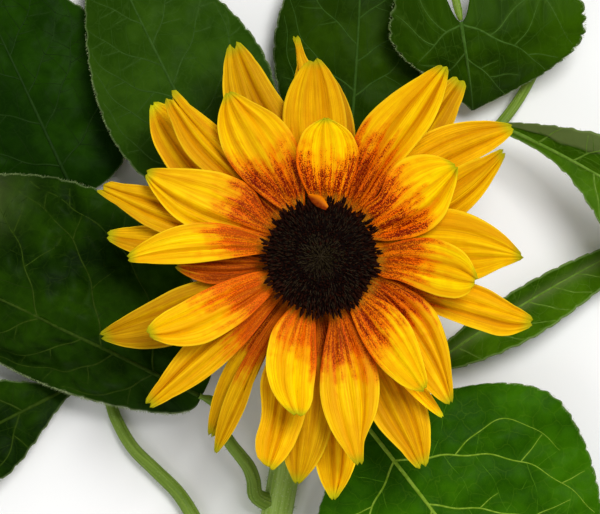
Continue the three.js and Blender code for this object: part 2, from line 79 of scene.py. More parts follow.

# What sets each petal apart, by its number. left and right are its edges as seen from the disc, and say
# how far the edge stands outside the solid's at four shares of the petal's length, EDGE_STATIONS.
# tip is the half width of its end, how far the right corner is set back from the left one, and the place (-1
# right, 1 left) and depth of the notch between its two teeth. folds are grooves along the petal as (place,
# depth), also darkened with painted shade. stain is how far from the flower's axis the red-brown reaches on
# the right edge, down the middle and on the left edge. The petal's brightness scale is painted light: above
# 1 on a petal that lies in shadow, below 1 painted shade. Its ink is how dark its stain is, set lower as
# painted light on petals whose roots lie in the disc's shadow.
EDGE_STATIONS = [0.3, 0.5, 0.7, 0.87]
NOTCH_DEPTH, NOTCH_HALF = 1.8, 0.55  # a notch of depth 1 in millimetres, and its half width as a share
TIP_SPREAD = 1.25
TIP_ROUNDING = 2.6  # how far the corners of a petal's end are set back
TIP_START = 0.87  # the share of its length at which a petal starts to take its end's width
NO_MOVE = (0, 0, 0, 0)
PETAL_DEFAULTS = dict(
    left=NO_MOVE, right=NO_MOVE, tip=(0.9, 0, 0.1, 0.6), folds=((-0.3, 0.6), (0.3, 0.6)),
    stain=(35, 35, 35), painted_light=1, ink_and_painted_light=1,
)
PETALS = {
    1: dict(left=(0, 0.5, 1, 1.2), right=(-1.5, -1, 0.5, 1.2), tip=(0.9, 1.5, 0, 0.3),
            folds=((0.25, 0.8), (-0.25, 0.6)), stain=(30, 34, 37), ink_and_painted_light=0.9),
    2: dict(left=(0, 0, -0.4, -0.5), right=(1, 2.5, 0.8, -1.1), tip=(0.5, 0, 0.4, 0.5),
            folds=((0.3, 0.6), (-0.35, 0.7)), stain=(24, 26, 26), painted_light=0.95),
    3: dict(right=(0, -1, -1.5, -0.7), tip=(1, 0, 0, 0.5), folds=((-0.35, 1), (0.4, 0.5)),
            stain=(30, 32, 32)),
    4: dict(left=(-2.5, 0, 1, 0.5), right=(0, 0, -0.5, -1.7), tip=(0.8, -0.4, 0, 0.3),
            folds=((0, 0.7), (-0.45, 0.8)), stain=(36, 35, 36), painted_light=1.1, ink_and_painted_light=1.1),
    5: dict(tip=(1.9, -0.3, 0.2, 0.5), folds=((0, 1),), painted_light=1.1),
    6: dict(left=(0, -0.6, -0.9, -0.8), right=(0, 0, 0.3, 0.6), tip=(1, 0.8, 0, 0.3),
            folds=((-0.5, 0.8), (0.2, 0.4)), painted_light=1.35),
    7: dict(left=(0, 0, -1.4, -1.6), right=(-2.5, -3, -1.6, -0.7), tip=(1.1, -0.3, 0.3, 0.4),
            folds=((0.15, 0.9), (-0.45, 0.9)), stain=(36, 42, 42)),
    8: dict(right=(0, -0.8, -1.2, -1)),
    9: dict(left=(0, 0, 0, 0.3), right=(-1, -0.6, 0.5, 0.7), tip=(0.6, 0, 0, 0.2),
            folds=((-0.15, 0.5), (0.25, 0.5)), stain=(36, 29, 36), painted_light=1.2, ink_and_painted_light=1.4),
    10: dict(left=(0.5, 0.8, 1, 0.6), right=(0, 0, -0.3, 0), tip=(1.3, -1, 0.1, 0.5),
             folds=((-0.3, 0.5), (0.1, 0.5)), painted_light=0.95),
    11: dict(left=(-4, -4, -4, -2.4), right=(1, 1, 1.5, 1), tip=(1, 0, 0, 0.4),
             folds=((0.3, 0.5),), painted_light=1.15),
    12: dict(left=(0, 0.4, 0.6, 0.3), right=(0.8, 0.8, -1.2, -0.6), tip=(1.6, 0, 0, 1.2),
             folds=((-0.25, 0.9), (0.3, 0.6)), stain=(36, 36, 36)),
    13: dict(left=(0, 0.3, 0.9, 1.1), right=(0, 0, -0.5, -1.5), tip=(0.8, 0.3, 0, 0.3),
             folds=((0.2, 0.7), (0.6, 0.8), (-0.35, 0.6)), stain=(38, 35, 43)),
    14: dict(left=(0, 0.5, 1.3, 0.8), right=(0, 0, -1.4, -1.3), tip=(2, -0.6, 0.1, 1.3),
             folds=((-0.1, 0.8), (0.45, 0.9)), stain=(36, 38, 38)),
    15: dict(left=(0, 0.6, 1.4, 1), right=(0, 0, -0.5, -1.5), tip=(1, 0.3, 0, 0.4),
             folds=((0.2, 0.6),), painted_light=1.65),
    16: dict(left=(0, 0.5, 0.7, 0.2), right=(2.5, 1.6, -0.2, -0.8), tip=(1.1, 0, 0.2, 0.4),
             folds=((0.45, 1), (0.75, 0.7), (-0.1, 0.4)), stain=(37, 34, 30), ink_and_painted_light=0.85),
    17: dict(left=(0, -0.3, -0.9, -1.4), right=(0, 0, -0.5, -0.8), tip=(1.5, 3.2, 0.2, 0.8),
             folds=((0.3, 0.8), (-0.3, 0.8)), painted_light=0.95),
    18: dict(tip=(1, 0, 0.2, 0.4), folds=((0.35, 0.6), (-0.1, 0.4)), stain=(38, 36, 28), painted_light=0.99, ink_and_painted_light=0.6),
    19: dict(tip=(1.2, 0, 0, 0.4), folds=((0, 0.6),), stain=(32, 32, 32), painted_light=1.2),
    20: dict(stain=(46, 46, 46), painted_light=0.8, ink_and_painted_light=0.7),
    21: dict(left=(0, 0, 0.2, 0.3), right=(1.5, 1.2, -0.5, -0.7), tip=(1, 0, 0, 0.7),
             folds=((0.1, 0.5), (-0.4, 0.7)), painted_light=0.87),
    22: dict(left=(0, 0, 0.8, 0.5), right=(-0.5, -1, -1.1, -0.3), tip=(1.3, 0, 0.2, 0.3),
             folds=((0.3, 0.6), (-0.3, 0.6)), stain=(42, 36, 35), ink_and_painted_light=0.58),
    23: dict(left=(0, -0.4, -0.8, -0.8), right=(0, 0.5, -0.8, -1), tip=(1.3, 0, 0.1, 0.8),
             folds=((-0.2, 0.9), (0.4, 0.5)), stain=(38, 39, 42), ink_and_painted_light=0.5),
    24: dict(tip=(0.8, 0, 0, 0.6), folds=((0.2, 0.8),), stain=(38, 38, 38)),
    25: dict(left=(-1.5, -2, -0.5, 0), tip=(0.5, 0, 0, 0.2), folds=((0.2, 0.8),),
             stain=(46, 42, 38), ink_and_painted_light=0.5),
    26: dict(left=(0, 0.5, 0.6, 1), right=(0, -0.8, -0.5, 0), tip=(1.5, 0, 0, 0.4),
             folds=((0.3, 0.5), (-0.25, 0.5)), stain=(28, 30, 37), ink_and_painted_light=0.58),
    27: dict(left=(0, 0, 0.5, 0.5), right=(1, 1.5, -1.3, 0.3), tip=(1.4, 2.6, 0.3, 0.3),
             folds=((0.2, 0.7), (-0.2, 0.7)), stain=(36, 36, 36), painted_light=1.15),
    28: dict(tip=(0.7, 0, 0, 0.5), folds=((-0.3, 0.7), (0.2, 0.4)), stain=(36, 36, 36)),
    29: dict(right=(0, 0, 0, 0.5), tip=(0.7, 0, 0, 0.3), folds=((-0.15, 0.8), (0.3, 0.7)), painted_light=1.7),
    30: dict(left=(0, -0.6, -1.6, -3), right=(0.8, 1.4, 1.4, 1), tip=(1, 0, 0, 0.5),
             folds=((0.35, 0.6), (-0.1, 0.4)), stain=(38, 36, 41), ink_and_painted_light=0.85),
    31: dict(right=(0, 0, -0.6, -1.3), tip=(1.4, 0.3, 0, 0.8), folds=((0.35, 0.9), (-0.3, 0.8)),
             stain=(36, 36, 36), painted_light=1.3),
    32: dict(tip=(0.5, 0, 0, 0.2), folds=((0, 0.3),), painted_light=1.9),
    33: dict(left=(0.3, -0.4, -1.9, -2), tip=(0.8, -0.8, 0, 0.3), folds=((-0.25, 0.6), (0.3, 0.5)),
             stain=(39, 34, 28)),
    34: dict(left=(0.3, 0.6, -0.8, -1.5), right=(0, 0.6, 1.7, 0.9), tip=(0.8, 0.3, 0, 0.4),
             folds=((0.35, 1), (-0.1, 0.9)), stain=(38, 38, 38)),
    35: dict(left=(0, 0, -0.2, -1.3), right=(-0.8, -1.3, -0.3, 1.3), tip=(1.2, -0.5, 0, 0.4),
             folds=((0.2, 0.6), (-0.4, 0.8)), stain=(38, 38, 34), painted_light=1.1),
}
# The stray petal: its grid, its width beside its solid's, and how far it arches up across its width.
STRAY_ROWS, STRAY_COLUMNS = 26, 13
STRAY_THICKNESS, STRAY_LIFT = 0.3, 0.25
STRAY_SPREAD, STRAY_CURL = 1.15, 1.1

# The disc's top, as (distance from the axis, depth below its highest place). The ground that the florets
# stand on lies a little lower: its foot, as (radius, height), and the radii of the rings of its top.
DOME = [(0, 0.8), (2.5, 0.5), (6, 0.0), (11, 0.4), (15.5, 1.5), (18.4, 3.2), (19.3, 5.2), (22, 6.2)]
GROUND_FOOT = [(0, 0), (14, 0), (17.6, 1)]
GROUND_RADII = [18, 17, 15, 12, 9, 6, 3, 0]
GROUND_SINK = 0.6
FLORET_COUNT = 1500
FLORET_REACH = 17.9  # how far from the axis the outermost florets stand
GOLDEN_TURN = 137.508
# A floret's lean outwards, its length and its width, at shares of the way from the axis to the rim.
FLORET_LEANS = ([0, 0.25, 0.5, 0.8, 1], [-50, -35, -5, 25, 60])
FLORET_LENGTHS = ([0, 0.4, 0.8, 1], [2.0, 2.4, 2.9, 3.9])
FLORET_WIDTHS = ([0, 0.5, 0.85, 1], [0.5, 0.6, 0.62, 0.95])
RIM_CLUMPS, RIM_CLUMP = 13, 1.1  # the outermost florets stand in clumps, some further out than others
STRAND_COUNT = 900
STRAND_REACH = 0.87  # as a share of the disc's radius
STRAND_WIDTH = 0.13
# Outlines of a floret, a strand and a hair of unit length, as (radius, height).
FLORET_PROFILE = [(0, 0), (0.5, 0.25), (0.55, 0.6), (0.26, 0.85), (0, 1)]
STRAND_PROFILE = [(0, 0), (0.5, 0.3), (0.35, 0.75), (0, 1)]
HAIR_PROFILE = [(0, 0), (1.0, 0.05), (0, 1)]

# The cup's outside, as (radius, height), and its bracts.
CUP_PROFILE = [(0, 0), (5.0, 0), (5.2, 1.5), (7, 4), (10.5, 8.5), (13.5, 12), (14.8, 13.6), (14.9, 20)]
CUP_LIP_RADIUS, CUP_LIP_DROP = 13, 0.3
BRACT_COUNT = 14
BRACT_LENGTHS = [31, 25]
BRACT_ROOT = 11
BRACT_ROOT_DROP = 10.9  # how far below the cup's highest place the bracts begin
BRACT_WIDTH = 10
BRACT_DROOP = 0.0035
BRACT_THICKNESS = 0.8
BRACT_ROWS, BRACT_COLUMNS = 22, 9
# The inner bracts, beside the outer ones: their length and width as shares of those, and their rise.
INNER_LENGTH, INNER_WIDTH, INNER_RISE = 0.82, 0.9, 1.2

# Tubes, as (sides, ribs, rib height as a share of the radius).
STEM_SHAPE = (40, 10, 0.022)
STALK_SHAPE = (20, 5, 0.05)
STALK_FOOT_STRETCH, STALK_END_STRETCH = 3.5, 1.6  # how far a stalk's ends are drawn out past its solid's
STALK_NECK, STALK_NECK_REACH = 0.5, 2.5  # how far a stalk narrows where it meets its blade
STALK_FOOT, STALK_FOOT_REACH = 0.25, 6  # and how far it widens at its foot
STEM_GLOSS = 0.2
HAIR_WIDTH = 0.06
STEM_HAIRS, NECK_HAIRS = (1500, 1.5), (500, 1.3)  # how many hairs, and their length
STALK_HAIRS = (4, 1.0)  # hairs for each ring of a stalk, and their length

# Leaves, in the flower's own frame: base is where the blade meets its stalk, heading is the way its
# midrib leaves it and bend how far it has turned at the tip. Pairs are for the left and right half as
# seen from the base, and teeth are their pitch and height along the blade's edge. quilt is the height of
# the pillows between the veins and swell that of broad waves. bristles are for each millimetre of blade.
LEAF_DEFAULTS = dict(
    tip=1, shoulder=(0.6, 0.6), taper=(1.8, 1.8), lobe=0, sinus=2, widest=0.4, wave=1.6, quilt=0.8,
    swell=0.6, teeth=(7.0, 0.8), bristles=(3.0, 3.0), first_vein=0.12, vein_gap=None, crowd=1, pale=None,
)
LEAVES = {
    # The left leaf's pale patch is a painted highlight where it shines.
    "left": dict(
        base=(-41, -48, 19), heading=153, bend=4, length=150, halves=(25, 49), tilts=(-34, -10),
        arch=27, lobe=4, quilt=1.9, tint="dark", bristles=(14, 4), swell=1.8, pale="patch",
    ),
    "low_right": dict(
        base=(15.7, -57.7, 20), heading=-51.5, bend=-4, length=128, halves=(58, 46), tilts=(-6, -12),
        arch=25, shoulder=(0.66, 0.66), widest=0.28, wave=1.5, quilt=0.9, tint="bright",
        teeth=(5.5, 0.8), bristles=(6, 4),
    ),
    "top_right": dict(
        base=(47.7, 80, 31), heading=-80, bend=0, length=29.5, halves=(44, 25), tilts=(-14, -14),
        taper=(2.3, 1.0), arch=27, tip=10, shoulder=(0.42, 0.42), lobe=20, widest=0.2, wave=1, quilt=0.6,
        tint="deep", first_vein=0.03, vein_gap=11, teeth=(4.5, 1.6), bristles=(12, 10), crowd=1.6, sinus=6,
    ),
    "top_left": dict(
        base=(-29, 17, 27), heading=118, bend=-3, length=112, halves=(27, 33), tilts=(-10, -8),
        arch=25, lobe=6, widest=0.38, tint="muted",
    ),
    "top": dict(
        base=(9, 27, 12), heading=84, bend=6, length=108, halves=(29, 24), tilts=(-8, -8),
        arch=14, lobe=5, widest=0.42, wave=1.2, tint="dim",
    ),
    "right": dict(
        base=(63, 44.5, 21), heading=-26, bend=-10, length=104, halves=(21, 19), tilts=(38, -4),
        arch=30, tip=15, shoulder=(0.9, 3.3), widest=0.6, wave=1.2, quilt=0.5, tint="fresh",
        pale="rolled edge",
    ),
    "right_low": dict(
        base=(38, -38, 7), heading=36, bend=-12, length=96, halves=(7.5, 14), tilts=(40, 37),
        arch=5, shoulder=(0.7, 0.7), wave=0.8, quilt=0.4, tint="fresh", pale="band",
    ),
    "far_left": dict(
        base=(-85, 21, 7), heading=114, bend=3, length=95, halves=(30, 37), tilts=(-8, -4),
        arch=10, lobe=4, widest=0.36, wave=1, tint="black",
    ),
    "low_left": dict(
        base=(-84, -43.5, 4), heading=208, bend=-4, length=92, halves=(18, 20), tilts=(4, 6),
        arch=10, shoulder=(1.8, 1.8), lobe=3, widest=0.45, wave=0.6, quilt=0.6, tint="dark",
    ),
}
LEAF_FOOT_HALF, LEAF_TIP_HALF = 2, 0.6
LOBE_SPAN = 0.16
EDGE_WAVES = 2.6
LEAF_CELL, LEAF_ROW = 1.15, 0.9  # the size of a blade's faces, across and along
LEAF_THICKNESS = 0.45
LEAF_GLOSS = 0.02
MIDRIB_STEPS = 24
UNDERSIDE_PALE = 0.5  # how far a blade's underside goes towards its pale green
PILLOW = 7.5  # how far apart the pillows of a blade stand
VEIN_END = 0.985  # the share of the blade's length at which its veins end
MIDRIB_WIDTHS = (1.7, 0.4)  # at its start and its end
# A side vein's angle to the midrib and its width, at shares of the blade's length.
SIDE_VEIN_ANGLES = ([0, 0.2, 0.8], [62, 56, 40])
SIDE_VEIN_WIDTHS = ([0, 0.8], [0.95, 0.5])
VEIN_WOBBLE = 9  # how far a vein swings to either side of its way
VEIN_FALL = 3  # how suddenly a vein turns from its first angle to its last
# Branches of a side vein: where along it they start, the angle at which they leave it and the one that
# they turn to, how far they take to turn, their longest reach and their width.
BRANCHES = [
    ((0.3, 0.55, 0.78), 55, -35, 24, 44, 0.5),
    ((0.2, 0.4, 0.62, 0.84), -60, -75, 14, 32, 0.3),
    ((0.15, 0.42, 0.66, 0.9), 68, 60, 14, 28, 0.28),
]
MAIN_VEIN = 0.45  # veins this wide or wider lie in a groove of the blade
UNDER_VEIN = 0.52  # veins this wide or wider also stand out on the blade's underside
FOLD_REACH = 4.0  # how far from such a vein the blade goes on rising


# Shader nodes.

def colour(text):
    """An sRGB colour such as "#f2b705" as Blender's linear numbers."""
    parts = [int(text[i:i + 2], 16) / 255 for i in (1, 3, 5)]
    return [p / 12.92 if p <= 0.04045 else ((p + 0.055) / 1.055) ** 2.4 for p in parts] + [1.0]


class Shader:
    """A material with one Principled shader, and short names for the nodes that drive it."""

    def __init__(self, name, gloss):
        self.material = bpy.data.materials.new(name)
        self.material.use_nodes = True
        self.tree = self.material.node_tree
        self.surface = self.tree.nodes["Principled BSDF"]
        self.surface.inputs["Specular IOR Level"].default_value = gloss

    def node(self, kind, values, output=0, **settings):
        made = self.tree.nodes.new(kind)
        for key, value in settings.items():
            setattr(made, key, value)
        for key, value in values.items():
            if isinstance(value, bpy.types.NodeSocket):
                self.tree.links.new(value, made.inputs[key])
            else:
                made.inputs[key].default_value = value
        return made.outputs[output]

    def attribute(self, name):
        return self.node("ShaderNodeAttribute", {}, "Vector", attribute_name=name)

    def place(self):
        return self.node("ShaderNodeTexCoord", {}, "Object")

    def split(self, vector):
        made = self.tree.nodes.new("ShaderNodeSeparateXYZ")
        self.tree.links.new(vector, made.inputs[0])
        return tuple(made.outputs)

    def join(self, x, y, z):
        return self.node("ShaderNodeCombineXYZ", {0: x, 1: y, 2: z})

    def math(self, operation, a, b=0.0):
        return self.node("ShaderNodeMath", {0: a, 1: b}, operation=operation)

    def times(self, a, b):
        return self.math("MULTIPLY", a, b)

    def plus(self, a, b):
        return self.math("ADD", a, b)

    def noise(self, vector, scale, detail=2.0, roughness=0.5):
        values = {"Vector": vector, "Scale": scale, "Detail": detail, "Roughness": roughness}
        return self.node("ShaderNodeTexNoise", values)

    def cells(self, vector, scale, feature="DISTANCE_TO_EDGE"):
        return self.node("ShaderNodeTexVoronoi", {"Vector": vector, "Scale": scale}, feature=feature)

    def shifted(self, place):
        """The place moved about a little, so that a net of cells doesn't look drawn with a ruler."""
        field = self.node("ShaderNodeTexNoise", {"Vector": place, "Scale": 0.35, "Detail": 1.0}, "Color")
        shift = self.node("ShaderNodeVectorMath", {0: field, "Scale": 2.2}, operation="SCALE")
        return self.node("ShaderNodeVectorMath", {0: place, 1: shift}, operation="ADD")

    def step(self, value, low, high, bottom=0.0, top=1.0):
        values = {"Value": value, "From Min": low, "From Max": high, "To Min": bottom, "To Max": top}
        return self.node("ShaderNodeMapRange", values, interpolation_type="SMOOTHSTEP")

    def mix(self, factor, a, b, blend="MIX"):
        a, b = (colour(x) if isinstance(x, str) else x for x in (a, b))
        values = {0: factor, 6: a, 7: b}
        return self.node("ShaderNodeMix", values, 2, data_type="RGBA", blend_type=blend)

    def coated(self, base, coats):
        """The base under coats of other colours, each given as (how much of it, colour)."""
        for amount, tint in coats:
            base = self.mix(amount, base, tint)
        return base

    def bump(self, height, depth):
        """depth is how far, in millimetres, the surface seems to rise where height is 1."""
        values = {"Height": height, "Distance": depth * MM, "Strength": 1.0}
        return self.node("ShaderNodeBump", values)

    def finish(self, base, roughness, normal):
        for socket, value in (("Base Color", base), ("Roughness", roughness), ("Normal", normal)):
            self.tree.links.new(value, self.surface.inputs[socket])
        return self.material


def petal_material(name, yellow, deep, flush, stain):
    """Golden yellow, with red-brown specks in streaks from the disc out and a green tint at the tip, painted
    shade in its folds, a painted highlight along its edges and painted light scaling each petal's
    brightness.
    """
    s = Shader(name, PETAL_GLOSS)
    out, across, seed = s.split(s.attribute("petal_place"))
    share, margin, fold = s.split(s.attribute("petal_marks"))
    painted_light, ink_and_painted_light, _ = s.split(s.attribute("petal_light_and_ink"))

    def streaks(along, over, detail=2.0, roughness=0.5):
        """A noise drawn out along the petal. along and over are how fast it changes each way."""
        return s.noise(s.join(s.times(out, along), s.times(across, over), seed), 1.0, detail, roughness)

    streak = streaks(0.045, 5.0, 3.0, 0.6)
    band = streaks(0.02, 2.4)
    fine = streaks(0.06, 20.0)
    lines = streaks(0.5, 24.0, 3.0, 0.7)
    patch = s.noise(s.place(), 240.0)
    speck = s.noise(s.place(), 2600.0, 2.0, 0.7)
    grain = s.plus(s.step(lines, 0.3, 0.7, -0.4, 0.4), s.step(speck, 0.32, 0.68, -0.7, 0.7))
    # margin is how far inside the stain's reach a place is, in millimetres.
    drift = s.plus(s.step(streak, 0.3, 0.7, -4.5, 4.5), s.step(patch, 0.3, 0.7, -2.0, 2.0))
    flushed = s.plus(margin, drift)
    stained = s.plus(flushed, s.times(grain, 9.0))
    flushing = s.times(s.step(flushed, -9.0, 5.0), s.step(fine, 0.42, 0.62, 1.0, 0.7))
    # The red-brown lies in streaks of grains, and is weaker where it begins.
    inked = s.plus(grain, s.step(streak, 0.36, 0.64, -0.6, 0.5))
    depth = s.times(s.step(stained, -1.0, 9.0), s.step(inked, -0.85, 0.55))
    # Each petal's ink scales the stain's darkness; it is set lower as painted light on petals whose roots
    # lie in the disc's shadow.
    depth = s.times(s.times(depth, s.step(flushed, -8.0, 8.0, 0.4, 1.0)), ink_and_painted_light)
    claw = s.times(s.step(out, 23.0, 19.5), s.step(streak, 0.42, 0.6, 0.0, 0.65))
    # Painted highlight: a thin lemon rim along the petal's edges where they catch the light, orange over the
    # stain.
    rim = s.mix(s.step(margin, -8.0, 2.0), "#ffdc1e", flush)
    base = s.coated(yellow, [
        (s.step(fine, 0.35, 0.65, 0.0, 0.55), deep),
        (s.step(band, 0.42, 0.66, 0.0, 0.65), deep),
        (s.step(patch, 0.4, 0.7, 0.0, 0.25), deep),
        # Painted shade in the folds: darker, browner yellow where the petal is grooved.
        (s.step(fold, 0.25, 1.0, 0.0, 0.6), s.mix(0.6, deep, "#8a5200")),
        (flushing, flush),
        (depth, stain),
        (claw, "#cc8c18"),
        # the painted highlight along the edges
        (s.step(s.math("ABSOLUTE", across), 0.88, 1.0, 0.0, 0.5), rim),
        (s.step(share, 0.91, 1.0, 0.0, 0.8), "#9ca80e"),
    ])
    # Painted light and shade: each petal's colour is scaled up on petals that lie in shadow and down on some
    # others.
    base = s.mix(1.0, base, s.join(painted_light, painted_light, painted_light), "MULTIPLY")
    ridges = s.plus(s.times(fine, 0.8), s.times(streak, 1.2))
    ridges = s.plus(ridges, s.times(speck, 0.08))
    return s.finish(base, s.step(fine, 0.2, 0.8, 0.46, 0.6), s.bump(ridges, 0.34))


def leaf_material(name, dark, light, vein):
    """Mottled green with a faint net of paler veins, a fine stipple and a pale edge."""
    s = Shader(name, LEAF_GLOSS)
    place = s.attribute("leaf_place")
    near, edge, pale = s.split(s.attribute("leaf_lines"))
    patches = s.noise(place, 0.045, 3.0, 0.6)
    cloud = s.noise(place, 0.3)
    grain = s.noise(place, 2.2, 3.0, 0.7)
    warped = s.shifted(place)
    net = s.cells(warped, 0.16)
    small = s.cells(warped, 0.5)
    base = s.coated(dark, [
        (s.step(patches, 0.35, 0.65), light),
        (s.step(cloud, 0.35, 0.7, 0.0, 0.35), dark),
        (s.step(net, 0.05, 0.3, 0.0, 0.22), light),
        (s.step(net, 0.0, 0.03, 0.22, 0.0), vein),
        (s.step(small, 0.0, 0.05, 0.08, 0.0), vein),
        (s.step(grain, 0.62, 0.78, 0.0, 0.3), vein),
        (s.step(grain, 0.4, 0.2, 0.0, 0.4), dark),
        (s.step(near, 0.1, 0.8, 0.3, 0.0), vein),
        (s.step(edge, 0.2, 0.8, 0.5, 0.0), s.mix(0.5, vein, "#8ea26a")),
        # Pale olive: the leaf's own paler underside and band, and on the left leaf a painted highlight.
        (pale, "#66763f"),
    ])
    height = s.plus(s.step(net, 0.0, 0.4), s.times(grain, 0.2))
    return s.finish(base, s.step(grain, 0.3, 0.7, 0.4, 0.52), s.bump(height, 0.12))


def mottled_material(name, first, second, scale, roughness=0.55, depth=0.15, gloss=0.2):
    """Two tints dealt out by a noise, with a grain of the same scale."""
    s = Shader(name, gloss)
    grain = s.noise(s.place(), scale, 3.0, 0.6)
    base = s.mix(s.step(grain, 0.3, 0.7), first, second)
    spread = s.step(grain, 0.2, 0.8, roughness - 0.08, roughness + 0.08)
    return s.finish(base, spread, s.bump(grain, depth))


def stem_material(name, first, second, pale):
    """Two greens in streaks along a tube, with pale feet of hairs."""
    s = Shader(name, STEM_GLOSS)
    along, x, y = s.split(s.attribute("tube_place"))
    streak = s.noise(s.join(s.times(along, 0.012), x, y), 4.0, 3.0, 0.6)
    cloud = s.noise(s.place(), 60.0)
    dots = s.cells(s.place(), 900.0, "F1")
    base = s.coated(first, [
        (s.step(streak, 0.36, 0.64), second),
        (s.step(cloud, 0.4, 0.7, 0.0, 0.2), first),
        (s.step(dots, 0.12, 0.3, 0.45, 0.0), pale),
    ])
    height = s.plus(streak, s.step(dots, 0.1, 0.35, 0.4, 0.0))
    return s.finish(base, s.step(streak, 0.2, 0.8, 0.44, 0.58), s.bump(height, 0.2))


def curled_material():
    """Orange, with painted shade making it dark red-brown towards one edge."""
    s = Shader("petal_curled_painted_shade", PETAL_GLOSS)
    _, across, _ = s.split(s.attribute("petal_place"))
    grain = s.noise(s.place(), 900.0)
    # Painted shade: dark red-brown towards the edge that lies in shade, bright orange towards the lit edge.
    base = s.mix(s.step(across, -0.4, 0.8), "#7a2600", "#dc7a00")
    base = s.mix(s.step(grain, 0.4, 0.7, 0.0, 0.4), base, "#b45400")
    return s.finish(base, s.step(grain, 0.2, 0.8, 0.45, 0.6), s.bump(grain, 0.1))


# One look for each ring of petals, from the front ring back: the lower rings are painted darker and more
# orange as shade for lying under the rings above.
PETAL_LOOKS = [
    ("petal_front", "#ffda00", "#ea9e00", "#ee6200", "#6c1000"),
    ("petal_second_painted_shade", "#fccd00", "#de9200", "#e65c00", "#6c1000"),
    ("petal_third_painted_shade", "#f0bc00", "#cc8400", "#d85600", "#701400"),
    ("petal_back_painted_shade", "#dcaa00", "#b27400", "#c45000", "#741a00"),
]
petal_looks_by_ring_shade = [petal_material(*look) for look in PETAL_LOOKS]
curled_look = curled_material()
# For each tint of leaf: dark green, light green and the net of fine veins on its blade, then two tints of
# its main veins and two of its thin ones. The greens are darkened by painted shade, by different amounts for
# each leaf, most of all in the dark, dim and black tints.
LEAF_TINTS_WITH_SHADE = {
    "dark": ("#0a1e00", "#1f3c00", "#2c4408", "#253a04", "#33480c", "#1a2e02", "#223604"),
    "bright": ("#1e4600", "#336400", "#557a14", "#678a14", "#86a636", "#3e6c06", "#4c7a12"),
    "deep": ("#1d3600", "#2f5000", "#43611c", "#365616", "#446424", "#284808", "#31500f"),
    "dim": ("#172c00", "#274200", "#334e10", "#2a4810", "#365418", "#223c06", "#2a460c"),
    "muted": ("#1f3a03", "#2e4c0a", "#3c581e", "#2b4711", "#35531b", "#26430a", "#2c4a0e"),
    "black": ("#0c2400", "#1a3a00", "#1f3a0a", "#162f06", "#1e380c", "#102602", "#162c04"),
    "fresh": ("#2c4e00", "#436a06", "#6a8834", "#567a1e", "#6c8c34", "#44680e", "#4e721a"),
}
under_vein_look = mottled_material("vein_under", "#62783a", "#7c9454", 500, gloss=0.05)
leaf_looks, vein_looks = {}, {}
for tint, (dark, light, net, rib, rib_light, thread, thread_light) in LEAF_TINTS_WITH_SHADE.items():
    leaf_looks[tint] = leaf_material("leaf_" + tint, dark, light, net)
    vein_looks[tint] = [
        mottled_material("vein_" + tint, rib, rib_light, 500, gloss=0.05),
        mottled_material("fine_" + tint, thread, thread_light, 500, gloss=0.05),
        under_vein_look,
    ]
stem_look = stem_material("stem_green", "#8cac40", "#aac866", "#c4d698")
stalk_look = stem_material("stalk_green", "#5e7c1a", "#7e9a36", "#98ac64")
pith_look = mottled_material("pith", "#d6d2ac", "#bcbc88", 900, 0.8, 0.3)
cup_look = mottled_material("cup_green", "#355c14", "#527a2a", 350, 0.55, 0.2)
hair_look = mottled_material("hair", "#8a9c62", "#b0be8c", 900, 0.5, 0.05)
disc_look = mottled_material("disc_ground", "#080302", "#120805", 1200, 0.85, 0.3, 0.05)
floret_looks = [
    mottled_material("floret_maroon", "#1c0a04", "#321207", 1500, 0.6, 0.15, 0.05),
    mottled_material("floret_black", "#110503", "#220b05", 1500, 0.65, 0.15, 0.05),
    mottled_material("floret_olive", "#1d1608", "#2e2410", 1500, 0.7, 0.15, 0.05),
]
strand_look = mottled_material("disc_strand", "#2e2416", "#4a3e28", 1500, 0.6, 0.1, 0.1)


# Meshes. Points are millimetres in the shared frame.

def linked(name, data):
    """A new object in the scene."""
    thing = bpy.data.objects.new(name, data)
    bpy.context.scene.collection.objects.link(thing)
    return thing


def new_piece(name, points, faces, looks, replaces=(), face_looks=None, attributes=None,
              map_places=None):
    mesh = bpy.data.meshes.new(name)
    mesh.from_pydata((np.asarray(points) * MM).tolist(), [], [list(face) for face in faces])
    for look in looks:
        mesh.materials.append(look)
    if face_looks is not None:
        mesh.polygons.foreach_set("material_index", np.asarray(face_looks, np.int32))
    mesh.polygons.foreach_set("use_smooth", np.full(len(mesh.polygons), True))
    for key, values in (attributes or {}).items():
        layer = mesh.attributes.new(key, "FLOAT_VECTOR", "POINT")
        layer.data.foreach_set("vector", np.asarray(values, np.float32).ravel())
    if map_places is not None:
        layer = mesh.uv_layers.new(name="OFBake")
        layer.data.foreach_set("uv", np.asarray(map_places, np.float32).ravel())
    mesh.update()
    piece = linked(name, mesh)
    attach(piece, "root")
    if replaces:
        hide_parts(*replaces)


class Parts:
    """Collects meshes to be joined into one piece."""

    def __init__(self):
        self.points, self.faces, self.looks, self.count = [], [], [], 0

    def add(self, points, faces, look=0):
        self.points.append(np.asarray(points, float))
        self.faces += [[i + self.count for i in face] for face in faces]
        self.looks += [look] * len(faces)
        self.count += len(points)

    def piece(self, name, looks, slot, replaces=(), attributes=None):
        points = np.concatenate(self.points)
        new_piece(name, points, self.faces, looks, replaces, self.looks, attributes)


def unit(vectors):
    return vectors / np.maximum(np.linalg.norm(vectors, axis=-1, keepdims=True), 1e-12)


def hump(distance, width):
    """1 at a distance of 0, and near 0 beyond twice the width."""
    return np.exp(-((distance / width) ** 2))


def by_side(side, values):
    """The first of two values where side is below 0, and else the second."""
    return np.where(side < 0, values[0], values[1])


def flat_way(turn):
    return np.array([math.cos(turn), math.sin(turn), 0])


def gone_along(line):
    """How far along a line each of its points lies."""
    return np.concatenate([[0], np.cumsum(np.linalg.norm(np.diff(line, axis=0), axis=1))])


def grid_normals(points):
    return unit(np.cross(np.gradient(points, axis=0), np.gradient(points, axis=1)))


